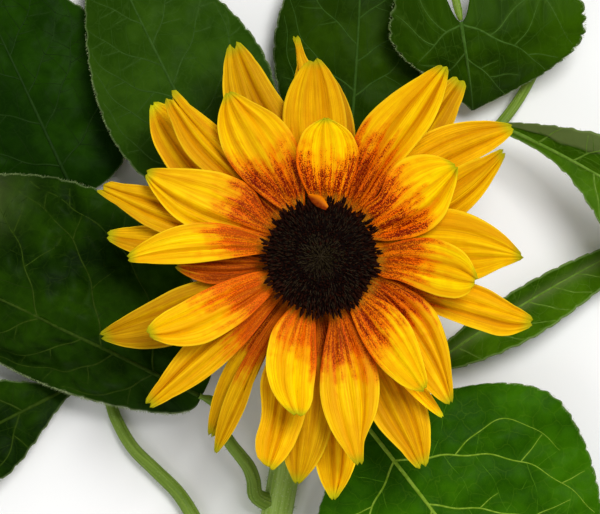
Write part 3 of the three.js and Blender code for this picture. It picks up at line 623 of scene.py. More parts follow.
def grid_faces(rows, columns):
    """(faces of a closed sheet, each face's corners as places in its bake map)."""
    index = np.arange(rows * columns).reshape(rows, columns)
    a, b, c, d = index[:-1, :-1], index[1:, :-1], index[1:, 1:], index[:-1, 1:]
    top = np.stack([a, b, c, d], -1).reshape(-1, 4)
    bottom = np.stack([a, d, c, b], -1).reshape(-1, 4) + rows * columns
    rim = np.concatenate([index[:-1, 0], index[-1, :-1], index[:0:-1, -1], index[0, :0:-1]])
    after = np.roll(rim, -1)
    walls = np.stack([rim, rim + rows * columns, after + rows * columns, after], -1)
    row, column = np.divmod(np.arange(rows * columns), columns)
    here = np.stack([0.02 + 0.45 * column / (columns - 1), 0.02 + 0.96 * row / (rows - 1)], -1)
    places = np.concatenate([here, here + [0.5, 0.0]])
    flat = places[np.concatenate([top, bottom]).ravel()]
    edge = here[np.stack([rim, rim, after, after], -1).ravel()]
    return np.concatenate([top, bottom, walls]), np.concatenate([flat, edge])


def skins(points, thickness):
    """The two skins of a sheet, one under the other. thickness is one number or one for each point."""
    half = np.asarray(thickness)[..., None] / 2 * grid_normals(points)
    return np.concatenate([(points + half).reshape(-1, 3), (points - half).reshape(-1, 3)])


def ring_faces(rings, sides):
    """Faces of a closed body of points: one end, rings of points one after another, and the other end."""
    k = np.arange(sides)
    after = (k + 1) % sides
    last = 1 + (rings - 1) * sides
    faces = np.stack([0 * k, 1 + after, 1 + k], -1).tolist()
    for low in range(1, last, sides):
        faces += np.stack([low + k, low + after, low + sides + after, low + sides + k], -1).tolist()
    return faces + np.stack([last + k, last + after, 0 * k + last + sides], -1).tolist()


def around(sides):
    """(turns spread evenly round a circle, their places on a unit circle)."""
    turns = np.linspace(0, 2 * math.pi, sides, endpoint=False)
    return turns, np.column_stack([np.cos(turns), np.sin(turns)])


def sheet_piece(name, grid, thickness, look, node, attributes):
    """A sheet as a piece. An attribute has a row for each point of one skin, or of both."""
    faces, places = grid_faces(*grid.shape[:2])
    points = skins(grid, thickness)
    attributes = {key: np.tile(rows, (len(points) // len(rows), 1)) for key, rows in attributes.items()}
    new_piece(name, points, faces, [look], [node], attributes=attributes, map_places=places)


def smooth_through(knots, values, at):
    """A smooth curve through values at the knots, read at other places."""
    slopes = np.gradient(values, knots, axis=0)
    k = np.clip(np.searchsorted(knots, at) - 1, 0, len(knots) - 2)
    step = (knots[k + 1] - knots[k])[:, None]
    u = ((at - knots[k]) / step[:, 0])[:, None]
    return (
        (1 + 2 * u) * (1 - u) ** 2 * values[k] + u * (1 - u) ** 2 * step * slopes[k]
        + u * u * (3 - 2 * u) * values[k + 1] + u * u * (u - 1) * step * slopes[k + 1]
    )


def node_corners(node):
    """(the different corners of a CAD node's mesh, which of them each of its vertices is)."""
    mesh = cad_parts[node].data
    places = np.empty(len(mesh.vertices) * 3)
    mesh.vertices.foreach_get("co", places)
    corners, index = np.unique(np.round(places.reshape(-1, 3) / MM, 3), axis=0, return_inverse=True)
    return corners, index.ravel()


def wander(places, seed):
    """A smooth random line about 0, between -1 and 1, over places from 0 to 1."""
    r = np.random.default_rng(seed)
    total = np.zeros_like(places, dtype=float)
    for k in range(1, 6):
        total += r.normal() / k * np.sin(2 * math.pi * (k * 0.6 * places + r.random()))
    return np.clip(total / 2, -1, 1)


# Petals.

def solid_rows(points, root, way, left):
    """A blade's solid as rows of three points along a way, on its middle surface."""
    points = points[np.argsort((points - root) @ way)]
    rows = points.reshape(-1, POINTS_PER_ROW, 3)
    sides = np.argsort((rows - root) @ left, axis=1)
    rows = np.take_along_axis(rows, sides[..., None], axis=1)
    return rows.reshape(len(rows), 3, 2, 3).mean(2)


def petal_rows(node):
    """The rows of a petal's solid, from its root to its tip."""
    points, _ = node_corners(node)
    order = np.argsort(np.linalg.norm(points[:, :2] - AXIS, axis=1))
    root = points[order[:POINTS_PER_ROW]].mean(0)
    tip = points[order[-POINTS_PER_ROW:]].mean(0)
    way = unit(np.append((tip - root)[:2], 0))
    return solid_rows(points, root, way, np.array([-way[1], way[0], 0]))


def edge_moves(moves, at):
    """How far an edge stands outside the solid's, at shares of the petal's length."""
    stations = np.array([0, 0.15] + EDGE_STATIONS + [1.0])
    values = np.array([0, 0] + list(moves) + [0.0])[:, None]
    return smooth_through(stations, values, at)[:, 0]


def petal_shares(tip, side, length):
    """The share of the petal's length at which each point of its grid stands, with a notched end."""
    _, slant, notch_place, notch = tip
    set_back = NOTCH_DEPTH * notch * np.clip(1 - np.abs(side - notch_place) / NOTCH_HALF, 0, 1)
    set_back += TIP_ROUNDING * np.clip(np.abs(side) - NOTCH_HALF, 0, 1) ** 1.2
    set_back += slant * (1 - side) / 2 if slant > 0 else -slant * (1 + side) / 2
    share = np.linspace(0, 1, PETAL_ROWS) ** 0.9
    late = np.clip((share - 0.7) / 0.3, 0, 1)[:, None] ** 2
    return (share[:, None] * (1 - late * set_back[None, :] / length)).ravel()


def petal_surface(facts, rows, knots, at, v):
    """(points of a petal's smooth middle surface, its half width at each of them)."""
    line, first, second = (smooth_through(knots, rows[:, k], at) for k in (1, 0, 2))
    wider = TIP_SPREAD * facts["tip"][0] - np.linalg.norm(rows[-1, 2] - rows[-1, 0]) / 2
    at_tip = wider * np.clip((at - TIP_START) / (1 - TIP_START), 0, 1)
    # Each half is drawn out from the middle line by its own width.
    widths = []
    for edge, moves in ((first, facts["right"]), (second, facts["left"])):
        solid = np.linalg.norm(edge - line, axis=1)
        widths.append(np.maximum(solid + edge_moves(moves, at) + at_tip, 0.25))
    half = by_side(v, widths)
    points = line + unit((second - first) * [1, 1, 0]) * (v * half)[:, None]
    rise = (first[:, 2] + second[:, 2]) / 2 - line[:, 2]
    points[:, 2] = line[:, 2] + rise * v * v + (second[:, 2] - first[:, 2]) / 2 * v
    return points, half


def petal_relief(folds, at, v, half, r):
    """(how far a petal is raised, how deeply it is grooved, which also sets the painted shade of its folds).
    The grooves fade at its root and tip.
    """
    grow = np.clip(at / 0.4, 0, 1) ** 0.7 * np.clip((1 - at) / 0.06, 0.35, 1)
    fold, thin = np.zeros(len(at)), np.zeros(len(at))
    for place, depth in folds:
        drift = place + 0.05 * wander(at, r.integers(9999))
        fold += depth * hump(v - drift, 0.12)
    for _ in range(THIN_GROOVES):
        drift = r.uniform(-0.85, 0.85) + 0.06 * wander(at, r.integers(9999))
        thin += r.uniform(0.15, 0.4) * hump(v - drift, 0.08)
    relief = PETAL_CREST * (1 - v * v) ** 2 - FOLD_SINK * fold - THIN_SINK * thin
    relief *= grow * np.clip(half / 6, 0.2, 1.2)
    relief += r.uniform(0.2, 0.6) * np.abs(v) ** 3 * wander(at, r.integers(9999)) * grow
    return relief, (fold + 0.6 * thin) * grow


def make_petal(number):
    node = f"ray_{number:02d}"
    seed = 40 + number
    facts = {**PETAL_DEFAULTS, **PETALS.get(number, {})}
    rows = petal_rows(node)
    out = np.linalg.norm(rows[:, 1, :2] - AXIS, axis=1)
    length = out[-1] - out[0]
    side = np.linspace(-1, 1, PETAL_COLUMNS)
    at = petal_shares(facts["tip"], side, length)
    v = np.tile(side, PETAL_ROWS)
    points, half = petal_surface(facts, rows, (out - out[0]) / length, at, v)
    relief, grooves = petal_relief(facts["folds"], at, v, half, np.random.default_rng(seed))
    points[:, 2] += relief
    right, middle, left = facts["stain"]
    reach = middle + (left - right) / 2 * v + ((left + right) / 2 - middle) * v * v
    distance = np.linalg.norm(points[:, :2] - AXIS, axis=1)
    sheet_piece(
        f"petal_{number:02d}",
        points.reshape(PETAL_ROWS, PETAL_COLUMNS, 3),
        PETAL_THICKNESS * np.tile(1 - 0.6 * np.abs(side) ** 4, (PETAL_ROWS, 1)),
        # the ring's look, with painted shade on the lower rings
        petal_looks_by_ring_shade[np.argmin(np.abs(rows[0, 1, 2] - np.array(RING_HEIGHTS)))],
        node,
        {
            "petal_place": np.stack([distance, v, np.full(len(at), seed * 3.7)], -1),
            "petal_marks": np.stack([at, reach - distance, grooves], -1),
            "petal_light_and_ink": np.tile([facts["painted_light"], facts["ink_and_painted_light"], 0.0], (len(at), 1)),
        },
    )


PETAL_COUNT = sum(name.startswith("ray_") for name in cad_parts)
for petal_number in range(1, PETAL_COUNT + 1):
    make_petal(petal_number)


def make_stray_petal():
    """The small orange petal that lies curled on the disc's edge."""
    points, _ = node_corners("stray_ray")
    rows = solid_rows(points, np.zeros(3), np.array([1, 0, 0]), np.array([0, 1, 0]))
    at = np.linspace(0, 1, STRAY_ROWS)
    right, middle, left = (smooth_through(np.array([0, 0.5, 1.0]), rows[:, k], at) for k in range(3))
    side = np.linspace(-1, 1, STRAY_COLUMNS)[None, :, None]
    grid = middle[:, None] + ((left - right) / 2)[:, None] * side * STRAY_SPREAD
    curl = STRAY_CURL * np.sin(math.pi * at)[:, None]
    grid[..., 2] += curl * (1 - side[..., 0] ** 2) + STRAY_LIFT
    where = np.zeros(grid.shape)
    where[..., 1] = side[..., 0]
    sheet_piece("curled_petal", grid, STRAY_THICKNESS, curled_look, "stray_ray",
                {"petal_place": where.reshape(-1, 3)})


make_stray_petal()


# Disc.

def dome_height(radius):
    """The height of the disc's top at a distance from its middle."""
    return DISC_HIGH - np.interp(radius, *zip(*DOME))


def turned(profile, sides, centre=(0, 0)):
    """A closed body turned from (radius, height) pairs, the first and last on the axis."""
    _, circle = around(sides)
    rings = [np.column_stack([centre + radius * circle, np.full(sides, height)])
             for radius, height in profile[1:-1]]
    foot, head = ([[*centre, profile[i][1]]] for i in (0, -1))
    return np.concatenate([foot, *rings, head]), ring_faces(len(rings), sides)


def placed(shape, foot, way, length, width, bend=0.0):
    """A unit shape stood on a foot, along a way, and bent over towards the ground."""
    up = unit(np.asarray(way, float))
    side = unit(np.cross(up, [0.3, 0.2, 1.0]))
    other = np.cross(up, side)
    points = shape[:, :1] * side * width + shape[:, 1:2] * other * width + shape[:, 2:] * up * length
    points = points + foot
    points[:, 2] -= bend * shape[:, 2] ** 2
    return points


def make_disc():
    foot = [(radius, DISC_LOW + height) for radius, height in GROUND_FOOT]
    top = [(radius, dome_height(radius) - GROUND_SINK) for radius in GROUND_RADII]
    ground = Parts()
    ground.add(*turned(foot + top, 72, AXIS))
    ground.piece("disc_ground", [disc_look], "disc", ["disc"])

    shape, faces = turned(FLORET_PROFILE, 5)
    florets = Parts()
    for i in range(FLORET_COUNT):
        share = math.sqrt((i + 0.5) / FLORET_COUNT)
        radius = FLORET_REACH * share
        turn = math.radians(i * GOLDEN_TURN + rng.normal(0, 2))
        outward = flat_way(turn)
        lean = math.radians(np.interp(share, *FLORET_LEANS)) + rng.normal(0, 0.12)
        way = outward * math.sin(lean) + np.array([0, 0, math.cos(lean)]) + rng.normal(0, 0.1, 3)
        clump = RIM_CLUMP * max(0, share - 0.85) / 0.15
        clump *= math.sin(RIM_CLUMPS * turn + 2 * math.sin(5 * turn))
        foot = np.append(AXIS, dome_height(radius) - 1.5) + outward * (radius - 0.4 + clump)
        length = np.interp(share, *FLORET_LENGTHS) * rng.uniform(0.8, 1.2)
        width = np.interp(share, *FLORET_WIDTHS) * rng.uniform(0.85, 1.15)
        look = 2 if share < rng.uniform(0.25, 0.55) else int(rng.random() < 0.5)
        florets.add(placed(shape, foot, way, length, width, 0.5 * share), faces, look)
    florets.piece("disc_florets", floret_looks, "disc")

    shape, faces = turned(STRAND_PROFILE, 3)
    strands = Parts()
    for _ in range(STRAND_COUNT):
        share = STRAND_REACH * math.sqrt(rng.random())
        radius = DISC_RADIUS * share
        outward = flat_way(rng.uniform(0, 2 * math.pi))
        tilt = rng.uniform(0.1, 0.7)
        way = (-outward if share < 0.45 else outward) + np.array([0, 0, tilt]) + rng.normal(0, 0.2, 3)
        foot = np.append(AXIS, dome_height(radius) + 0.3) + outward * radius
        strands.add(placed(shape, foot, way, rng.uniform(1.2, 2.4), STRAND_WIDTH, 0.2), faces)
    strands.piece("disc_strands", [strand_look], "disc")


make_disc()


# Cup and bracts.

def make_bract(turn, length, width, rise, phase):
    """A pointed blade that leaves the cup in a direction and droops towards its tip."""
    t = np.linspace(0, 1, BRACT_ROWS)[:, None]
    side = np.linspace(-1, 1, BRACT_COLUMNS)[None, :]
    half = 0.12 + width * np.sin(math.pi * (0.22 + 0.78 * t)) ** 1.2
    out = flat_way(turn)[:2]
    left = np.array([-out[1], out[0]])
    plan = AXIS + (BRACT_ROOT + length * t)[..., None] * out - (side * half)[..., None] * left
    height = CUP_HIGH - BRACT_ROOT_DROP + rise - BRACT_DROOP * (length * t) ** 2
    height = height + 0.8 * side ** 2 - 0.5 * hump(side, 0.15) * (1 - t)
    height = height + 0.4 * np.sin(7 * t + phase) * side
    points = np.concatenate([plan, np.broadcast_to(height, plan.shape[:2])[..., None]], -1)
    return skins(points, BRACT_THICKNESS * np.ones((BRACT_ROWS, BRACT_COLUMNS)) * (1 - 0.6 * side ** 4))


def make_cup():
    profile = [(radius, CUP_LOW + height) for radius, height in CUP_PROFILE]
    profile += [(radius, CUP_HIGH - CUP_LIP_DROP) for radius in (CUP_LIP_RADIUS, 0)]
    body = Parts()
    body.add(*turned(profile, 48, AXIS))
    faces, _ = grid_faces(BRACT_ROWS, BRACT_COLUMNS)
    for k in range(2 * BRACT_COUNT):
        turn, length, width, rise = k, BRACT_LENGTHS[k % 2], BRACT_WIDTH / 2, 0
        if k >= BRACT_COUNT:
            turn, length, width, rise = k + 0.5, length * INNER_LENGTH, width * INNER_WIDTH, INNER_RISE
        body.add(make_bract(math.radians(turn * 360 / BRACT_COUNT), length, width, rise, k), faces)
    body.piece("cup_bracts", [cup_look], "green_cup", ["cup_with_bracts"])


make_cup()


# Stem, neck and leaf stalks.

def centre_line(node):
    """(points, radii) of a tube's solid, ring by ring from one cap to the other."""
    points, index = node_corners(node)
    near = [set() for _ in points]
    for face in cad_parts[node].data.polygons:
        corners = [int(index[v]) for v in face.vertices]
        for a in corners:
            near[a].update(c for c in corners if c != a)
    off = [np.linalg.norm(points[i] - points[list(near[i])].mean(0)) for i in range(len(points))]
    ends = np.argsort(off)[:2]
    start = max(ends, key=lambda i: points[i][2])
    done, rings, current = {int(start)}, [], [int(start)]
    while current:
        found = set().union(*(near[i] for i in current)) - done
        done |= found
        current = sorted(found)
        if len(current) > 2:
            rings.append(points[current])
    centres = np.array([ring.mean(0) for ring in rings])
    radii = np.array([np.linalg.norm(ring - ring.mean(0), axis=1).mean() for ring in rings])
    return centres, radii


def tube(line, radii, sides, ribs=0, relief=0.0):
    """A closed tube. ribs run along it, relief is their height as a share of the radius."""
    ways = unit(np.gradient(line, axis=0))
    normal = np.array([1.0, 0.0, 0.0] if abs(ways[0][2]) > 0.9 else [0.0, 0.0, 1.0])
    turns, circle = around(sides)
    shape = 1 + relief * np.cos(ribs * turns)
    rings = []
    for centre, way, radius in zip(line, ways, radii):
        normal = unit(normal - way * (normal @ way))
        ring = np.outer(circle[:, 0], normal) + np.outer(circle[:, 1], np.cross(way, normal))
        rings.append(centre + ring * (radius * shape)[:, None])
    points = np.concatenate([line[:1], *rings, line[-1:]])
    points[:, 2] = np.maximum(points[:, 2], 0)
    return points, ring_faces(len(rings), sides)


def tube_places(line, sides):
    """For each point of a tube: how far along it lies, and its direction from the tube's middle."""
    gone, (_, circle) = gone_along(line), around(sides)
    rings = np.column_stack([np.repeat(gone, sides), np.tile(circle, (len(gone), 1))])
    return {"tube_place": np.concatenate([[[0, 0, 0]], rings, [[gone[-1], 0, 0]]])}


def refined(line, radii, step, stretch=(0.0, 0.0)):
    """The line with points a step apart, and drawn out straight by a stretch at each end."""
    line = np.array(line)
    first, last = unit(line[0] - line[1]), unit(line[-1] - line[-2])
    line[0] = line[0] + first * stretch[0]
    line[-1] = line[-1] + last * stretch[1]
    gone = gone_along(line)
    at = np.linspace(0, gone[-1], max(8, int(gone[-1] / step)))
    return smooth_through(gone, line, at), np.interp(at, gone, radii)


SPIKE, SPIKE_FACES = turned(HAIR_PROFILE, 3)


def add_hairs(parts, line, radii, count, length, seed):
    """Bristles that stand out all round a tube."""
    r = np.random.default_rng(seed)
    ways = unit(np.gradient(line, axis=0))
    for _ in range(count):
        i = r.integers(1, len(line) - 1)
        away = r.normal(0, 1, 3)
        away = unit(away - ways[i] * (away @ ways[i]))
        foot = line[i] + away * radii[i] * 0.97 + ways[i] * r.uniform(-0.5, 0.5)
        if foot[2] < 0.8:
            continue
        way = away + r.normal(0, 0.3, 3)
        size = min(length * r.uniform(0.5, 1.2), foot[2])
        parts.add(placed(SPIKE, foot, way, size, HAIR_WIDTH), SPIKE_FACES)


hairs = Parts()


def tube_piece(name, node, line, radii, shape, looks):
    """A ribbed tube as a piece. A second look is that of its last end."""
    sides = shape[0]
    body = Parts()
    body.add(*tube(line, radii, *shape))
    if len(looks) > 1:
        body.looks[-sides:] = [1] * sides
    body.piece(name, looks, "stem", [node], tube_places(line, sides))


def make_stem():
    line, radii = refined(*centre_line("stem"), 1.5, (0.4, 0.0))
    bumps = 1 + 0.02 * wander(np.linspace(0, 1, len(line)), 5)
    tube_piece("stem_lying", "stem", line, radii * bumps * 0.975, STEM_SHAPE, [stem_look, pith_look])
    add_hairs(hairs, line, radii, *STEM_HAIRS, 21)
    line, radii = refined(*centre_line("neck"), 1.2, (1.5, 0.8))
    tube_piece("stem_neck", "neck", line, radii * 0.98, STEM_SHAPE, [stem_look])
    add_hairs(hairs, line, radii, *NECK_HAIRS, 22)


def make_stalk(node, seed):
    """A leaf's stalk, from its blade, where it narrows to the midrib, to its foot, which widens."""
    line, radii = centre_line(node)
    leaf = LEAVES[node.removeprefix("petiole_").removesuffix("_end")]
    blade = np.array(leaf["base"]) + [*AXIS, 0]
    if np.linalg.norm(line[0] - blade) > np.linalg.norm(line[-1] - blade):
        line, radii = line[::-1], radii[::-1]
    at_stem = not node.endswith("_end")
    foot_stretch = STALK_FOOT_STRETCH if at_stem else STALK_END_STRETCH
    line, radii = refined(line, radii, 1.5, (STALK_END_STRETCH, foot_stretch))
    radii = radii * (1 - STALK_NECK * hump(np.linalg.norm(line - blade, axis=1), STALK_NECK_REACH))
    if at_stem:
        to_foot = np.linalg.norm(line - line[-1], axis=1)
        radii = radii * (1 + STALK_FOOT * hump(to_foot, STALK_FOOT_REACH))
    tube_piece(node.replace("petiole", "stalk"), node, line, radii * 0.97, STALK_SHAPE, [stalk_look])
    thick, length = STALK_HAIRS
    add_hairs(hairs, line, radii, thick * len(line), length, seed)


make_stem()
for number, stalk_node in enumerate(sorted(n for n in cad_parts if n.startswith("petiole_"))):
    make_stalk(stalk_node, 60 + number)


# Leaves. t is a place along the blade from 0 to 1, side is from -1 (left edge) to 1 (right edge).

def outline(leaf, which, t):
    widest = leaf["widest"]
    rising = np.sin(math.pi / 2 * np.clip(t / widest, 0, 1)) ** leaf["shoulder"][which]
    rest = np.clip((t - widest) / (1 - widest), 0, 1)
    return np.where(t <= widest, rising, (1 - rest ** leaf["taper"][which]) ** 1.1)


def half_width(leaf, t, side):
    """(a half's width, that width as a share of its widest)."""
    share = by_side(side, [outline(leaf, which, t) for which in (0, 1)])
    bare = LEAF_FOOT_HALF + (LEAF_TIP_HALF - LEAF_FOOT_HALF) * t
    return bare + (by_side(side, leaf["halves"]) - bare) * share, share


def blade_surface(leaf, t, side):
    """Points of the blade's middle surface, as the solid has it but smooth."""
    t, side = np.broadcast_arrays(np.asarray(t, float), np.asarray(side, float))
    heading = np.radians(leaf["heading"] + leaf["bend"] * t)
    reach, share = half_width(leaf, t, side)
    reach = reach * np.abs(side)
    tilt = np.radians(by_side(side, leaf["tilts"]))
    x, y = (np.full(t.shape, float(value)) for value in leaf["base"][:2])
    for i in range(MIDRIB_STEPS):
        turned_by = np.radians(leaf["heading"] + leaf["bend"] * (i + 0.5) / MIDRIB_STEPS * t)
        x += np.cos(turned_by) * leaf["length"] * t / MIDRIB_STEPS
        y += np.sin(turned_by) * leaf["length"] * t / MIDRIB_STEPS
    foot, tip = leaf["base"][2], leaf["tip"]
    lift = 2 * leaf["arch"] - (foot + tip) / 2
    z = (1 - t) ** 2 * foot + 2 * t * (1 - t) * lift + t * t * tip
    edge = side * side
    sweep = leaf["lobe"] * edge * hump(t, LOBE_SPAN) * np.minimum(1, leaf["sinus"] * share)
    across = -np.sign(side) * reach * np.cos(tilt)
    x += -np.sin(heading) * across - np.cos(heading) * sweep
    y += np.cos(heading) * across - np.sin(heading) * sweep
    phase = 2 * math.pi * (EDGE_WAVES * t + 0.3 * np.sign(side))
    z = z + reach * np.sin(tilt) * (0.6 + 0.4 * np.abs(side)) + leaf["wave"] * edge * np.sin(phase) * share
    return np.stack([x + AXIS[0], y + AXIS[1], z], -1)


def surface_normals(leaf, t, side):
    step = 0.012
    low_t, high_t = np.maximum(t - step, 0), np.minimum(t + step, 1)
    low_side, high_side = np.maximum(side - step, -1), np.minimum(side + step, 1)
    along = blade_surface(leaf, high_t, side) - blade_surface(leaf, low_t, side)
    over = blade_surface(leaf, t, high_side) - blade_surface(leaf, t, low_side)
    return unit(np.cross(over, along))


def grow_vein(leaf, start, angle, rest, relax, sign, limit=400.0, others=()):
    """A vein from a start (along, across), leaving at an angle to the midrib and turning to rest.

    It ends at the blade's edge, at its limit or where it meets another vein's points.
    """
    place = np.array(start, float)
    path = [place.copy()]
    gone = 0.0
    known = np.concatenate(others) if len(others) else None
    while gone < limit:
        swing = VEIN_WOBBLE * math.sin(gone / 2.5 + start[0]) * min(1, gone / 5)
        now = math.radians(rest + (angle - rest) * math.exp(-((gone / relax) ** VEIN_FALL)) + swing)
        place = place + np.array([math.cos(now), sign * math.sin(now)])
        gone += 1.0
        t = place[0] / leaf["length"]
        if not 0 < t < VEIN_END:
            break
        reach, _ = half_width(leaf, t, sign)
        if abs(place[1]) > reach * 0.95 or place[1] * sign < 0:
            break
        path.append(place.copy())
        if known is not None and gone > 4 and np.abs(known - place).sum(1).min() < 1.2:
            break
    return np.array(path)


def leaf_veins(leaf, r):
    """[(path in millimetres along and across, width at its start, width at its end)]."""
    length = leaf["length"]
    midrib = np.stack([np.linspace(0, length * VEIN_END, 60), np.zeros(60)], -1)
    veins = [(midrib, *MIDRIB_WIDTHS)]
    for sign in (-1, 1):
        half = leaf["halves"][0 if sign < 0 else 1]
        at = leaf["first_vein"] * length
        gap = leaf["vein_gap"] or min(0.16 * length, 0.36 * half + 5)
        laterals = []
        while at < 0.86 * length:
            angle = np.interp(at / length, *SIDE_VEIN_ANGLES) + r.normal(0, 3)
            path = grow_vein(leaf, (at, 0), angle, 6, 8 + 0.75 * half, sign)
            if len(path) > 8:
                width = np.interp(at / length, *SIDE_VEIN_WIDTHS) * min(1, half / 25 + 0.3)
                laterals.append((path, width, 0.25))
            at += gap * r.uniform(0.85, 1.15)
        veins += laterals + side_veins(leaf, laterals, half, sign, r)
    return veins


def side_veins(leaf, laterals, half, sign, r):
    """Branches that arch from each side vein along the margin, and thin ones across to the next vein."""
    found = []
    known = [path for path, _, _ in laterals]
    for path, _, _ in laterals:
        for shares, turn, rest, relax, limit, width in BRANCHES:
            for share in shares:
                k = int((share + r.uniform(-0.04, 0.04)) * len(path))
                if not 3 < k < len(path) - 5 or half < 16:
                    continue
                step = path[k + 1] - path[k]
                now = math.degrees(math.atan2(abs(step[1]), step[0]))
                branch = grow_vein(leaf, path[k], now + turn + r.normal(0, 6), now + rest, relax, sign,
                                   limit, known)
                if len(branch) > 5:
                    found.append((branch, width, 0.18))
                    known.append(branch)
    return found


def tree_of(places):
    """A search tree of places on the blade."""
    tree = KDTree(len(places))
    for number, (a, b) in enumerate(places):
        tree.insert((a, b, 0), number)
    tree.balance()
    return tree


def vein_distance(places, veins):
    """How far each place (along, across) is from the nearest vein."""
    tree = tree_of(np.concatenate([path for path, _, _ in veins]))
    return np.array([tree.find((a, b, 0))[2] for a, b in places])


def pillow(places, seed):
    """A quilt of small raised cells between 0 and 1."""
    r = np.random.default_rng(seed)
    low, high = places.min(0) - PILLOW, places.max(0) + PILLOW
    count = int(np.prod(high - low) / PILLOW ** 2)
    tree = tree_of(r.uniform(low, high, (count, 2)))
    found = np.array([[hit[2] for hit in tree.find_n((a, b, 0), 2)] for a, b in places])
    return 1 - hump(found[:, 1] - found[:, 0], 3.0)


def pale_places(leaf, t, side, across):
    """Where a leaf is paler: its rolled edge and a band along its midrib, which are its own colour, and a
    painted highlight on a patch that shines.
    """
    if leaf["pale"] == "rolled edge":
        return 0.85 * rolled(t, side)
    if leaf["pale"] == "band":
        return 0.6 * hump(across, 2.6)
    # Painted highlight: a pale olive sheen on the part of the left leaf that faces the light.
    if leaf["pale"] == "patch":
        return 0.4 * hump(t - 0.66, 0.08) * hump(side - 0.7, 0.28)
    return np.zeros(t.shape)


def rolled(t, side):
    """1 where the left edge of a blade is rolled over and shows its underside."""
    start = 0.45 + 0.05 * np.sin(23 * t) + 0.03 * np.sin(61 * t)
    return np.clip((-side - start) / 0.05, 0, 1)


def broad_waves(places, r):
    """Low waves of the whole blade, between about -1 and 1."""
    total = np.zeros(len(places))
    for shortest, longest in [(14, 30)] * 4 + [(6, 12)] * 6:
        turn, length = r.uniform(0, math.pi), r.uniform(shortest, longest)
        way = np.array([math.cos(turn), math.sin(turn)]) / length
        total += np.sin(2 * math.pi * (places @ way + r.random())) * length / 75
    return total


def end_ease(leaf, t, reach):
    """1 along the blade, and falling to 0 at its two ends over a reach."""
    return np.clip(np.minimum(t, 1 - t) * leaf["length"] / reach, 0, 1)


def fold_height(leaf, t, side, margin, away, places, seed):
    """(how high the blade is puffed up, how much of any relief its edges and ends leave).

    It is puffed up in broad waves, and less near a main vein, which lies in a groove.
    """
    ease = np.clip(margin / 5, 0, 1) * end_ease(leaf, t, 6)
    puff = leaf["quilt"] * ((1 - hump(away, FOLD_REACH)) - 0.6)
    waves = broad_waves(places, np.random.default_rng(seed)).reshape(t.shape)
    if leaf["pale"] == "rolled edge":
        waves = waves + rolled(t, side)
    return (puff + leaf["swell"] * waves) * ease, ease


def edge_lengths(leaf, t):
    """How far along the left and the right edge each share of the blade's length lies."""
    return [gone_along(blade_surface(leaf, t, side)) for side in (-1.0, 1.0)]


def tooth(phase):
    """The outline of one tooth, that leans towards the blade's tip, over a phase from 0 to 1."""
    return np.sin(math.pi * phase ** 1.5) ** 0.7


def toothed(leaf, t, side, reach):
    """The blade's surface with teeth along its edges."""
    pitch, height = leaf["teeth"]
    gone = by_side(side, [lengths[:, None] for lengths in edge_lengths(leaf, t[:, 0])])
    phase = (gone / pitch + 0.15 * np.sin(gone)) % 1
    teeth = height * (tooth(phase) - 0.6) * np.abs(side) ** 8
    teeth = teeth * end_ease(leaf, t, 4) / np.maximum(reach, 6)
    body = blade_surface(leaf, t, side)
    middle = blade_surface(leaf, t, side * 0.0)
    return body + (body - middle) * teeth[..., None]


def make_leaf(name, leaf, seed):
    r = np.random.default_rng(seed)
    longest = max(lengths[-1] for lengths in edge_lengths(leaf, np.linspace(0, 1, 80)))
    rows = int(longest / LEAF_ROW)
    columns = max(17, int(sum(leaf["halves"]) / LEAF_CELL)) | 1
    t = np.linspace(0, 1, rows)[:, None] ** leaf["crowd"]
    t, side = np.broadcast_arrays(t, np.linspace(-1, 1, columns)[None, :])
    reach, _ = half_width(leaf, t, side)
    across = side * reach
    places = np.stack([(t * leaf["length"]).ravel(), across.ravel()], -1)
    veins = leaf_veins(leaf, r)
    main = [vein for vein in veins if vein[1] >= MAIN_VEIN]
    away = vein_distance(places, main).reshape(rows, columns)
    cells = pillow(places, seed).reshape(rows, columns)
    margin = (1 - np.abs(side)) * reach
    relief, ease = fold_height(leaf, t, side, margin, away, places, seed)
    relief += 0.09 * leaf["quilt"] * cells * ease * (1 - hump(away, 1.6))
    points = toothed(leaf, t, side, reach) + surface_normals(leaf, t, side) * relief[..., None]
    points[..., 2] = np.maximum(points[..., 2], LEAF_THICKNESS)
    pale = pale_places(leaf, t, side, across)
    over = np.stack([away.ravel(), margin.ravel(), pale.ravel()], -1)
    under = over * [1, 1, 0] + [0, 0, UNDERSIDE_PALE]
    sheet_piece(
        "blade_" + name,
        points,
        np.full((rows, columns), LEAF_THICKNESS),
        leaf_looks[leaf["tint"]],
        "leaf_" + name,
        {
            "leaf_place": np.column_stack([places, np.full(len(places), seed * 9.1)]),
            "leaf_lines": np.concatenate([under, over]),
        },
    )
    make_ribs(name, leaf, veins, main, seed)
    add_margin_hairs(leaf, r)


def make_ribs(name, leaf, veins, main, seed):
    """Veins as tubes on the blade. The thickest also stand out on its underside."""
    ribs = Parts()
    for path, first, last in veins:
        at = np.clip(path[:, 0] / leaf["length"], 0, 1)
        wide, _ = half_width(leaf, at, path[:, 1])
        side = np.clip(path[:, 1] / wide, -0.97, 0.97)
        line = blade_surface(leaf, at, side)
        normal = surface_normals(leaf, at, side)
        near = np.zeros(len(path)) if first >= MAIN_VEIN else vein_distance(path, main)
        puff, _ = fold_height(leaf, at, side, (1 - np.abs(side)) * wide, near, path, seed)
        radii = np.linspace(first, last, len(path)) / 2
        skin = LEAF_THICKNESS / 2
        tubes = [(skin - 0.4 * radii, 7, 0 if first >= MAIN_VEIN else 1)]
        if first >= UNDER_VEIN:
            tubes.append((-skin - 0.2 * radii, 5, 2))
        for lift, sides, look in tubes:
            middle = line + normal * (puff + lift)[:, None]
            middle[:, 2] = np.maximum(middle[:, 2], radii * 1.05)
            ribs.add(*tube(middle, radii, sides), look)
    ribs.piece("veins_" + name, vein_looks[leaf["tint"]], "leaf")


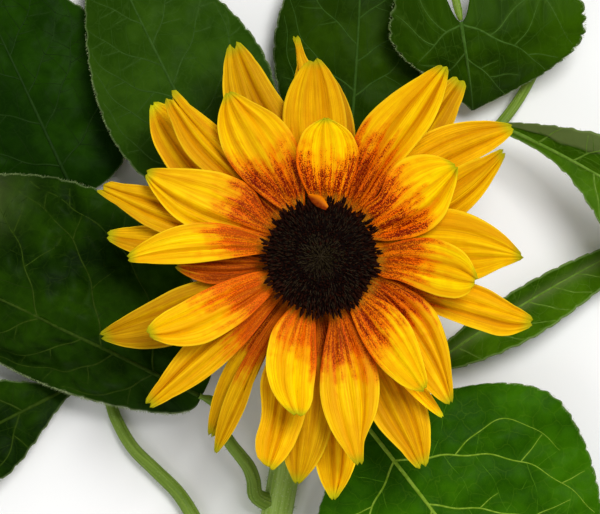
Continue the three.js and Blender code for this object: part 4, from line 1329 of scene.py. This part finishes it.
margin_hairs = Parts()


def add_margin_hairs(leaf, r):
    """Short pale bristles along the blade's edge."""
    for sign, thick in zip((-1.0, 1.0), leaf["bristles"]):
        count = int(leaf["length"] * thick)
        at = r.uniform(0.02, 0.98, count)
        where = sign * (1 - 0.02 * r.random(count) ** 2)
        edge = blade_surface(leaf, at, where)
        inner = blade_surface(leaf, at, where * 0.96)
        edge[:, 2] += LEAF_THICKNESS / 2
        for foot, before in zip(edge, inner):
            way = unit(foot - before) + r.normal(0, 1, 3) * [0.35, 0.35, 0.15]
            size = r.uniform(0.4, 1.0) * (1.4 if thick > 8 else 1)
            if foot[2] < 1.6:
                way[2] = abs(way[2])
            margin_hairs.add(placed(SPIKE, foot, way, size, HAIR_WIDTH), SPIKE_FACES)


for number, (leaf_name, leaf_sizes) in enumerate(LEAVES.items()):
    make_leaf(leaf_name, {**LEAF_DEFAULTS, **leaf_sizes}, 300 + number)
margin_hairs.piece("leaf_bristles", [hair_look], "leaf")
hairs.piece("stem_bristles", [hair_look], "stem")


# Floor, light and camera.

def make_stage():
    size = FLOOR_HALF * MM
    mesh = bpy.data.meshes.new("floor")
    corners = [(-size, -size, 0), (size, -size, 0), (size, size, 0), (-size, size, 0)]
    mesh.from_pydata(corners, [], [[0, 1, 2, 3]])
    mesh.materials.append(mottled_material("floor_white", "#fbfbfa", "#fdfdfc", 3, 0.9, 0.0))
    linked("floor", mesh)

    world = bpy.data.worlds.new("studio")
    world.use_nodes = True
    sky = world.node_tree.nodes["Background"]
    sky.inputs["Color"].default_value = (1, 1, 1, 1)
    sky.inputs["Strength"].default_value = SKY_STRENGTH
    bpy.context.scene.world = world

    for name, place, width, power in LIGHTS:
        light = bpy.data.lights.new(name, "AREA")
        light.size = width * MM
        light.energy = power
        lamp = linked(name, light)
        lamp.location = Vector(place) * MM
        aim = Vector((*AXIS, LIGHTS_AIM)) * MM - lamp.location
        lamp.rotation_euler = aim.to_track_quat("-Z", "Y").to_euler()

    camera = linked("camera", bpy.data.cameras.new("camera"))
    camera.data.lens = CAMERA_LENS
    camera.data.sensor_width = CAMERA_SENSOR
    camera.location = Vector((AXIS[0] + CAMERA_SHIFT, AXIS[1], CAMERA_HEIGHT)) * MM
    bpy.context.scene.camera = camera
    bpy.context.scene.view_settings.view_transform = "Standard"


make_stage()
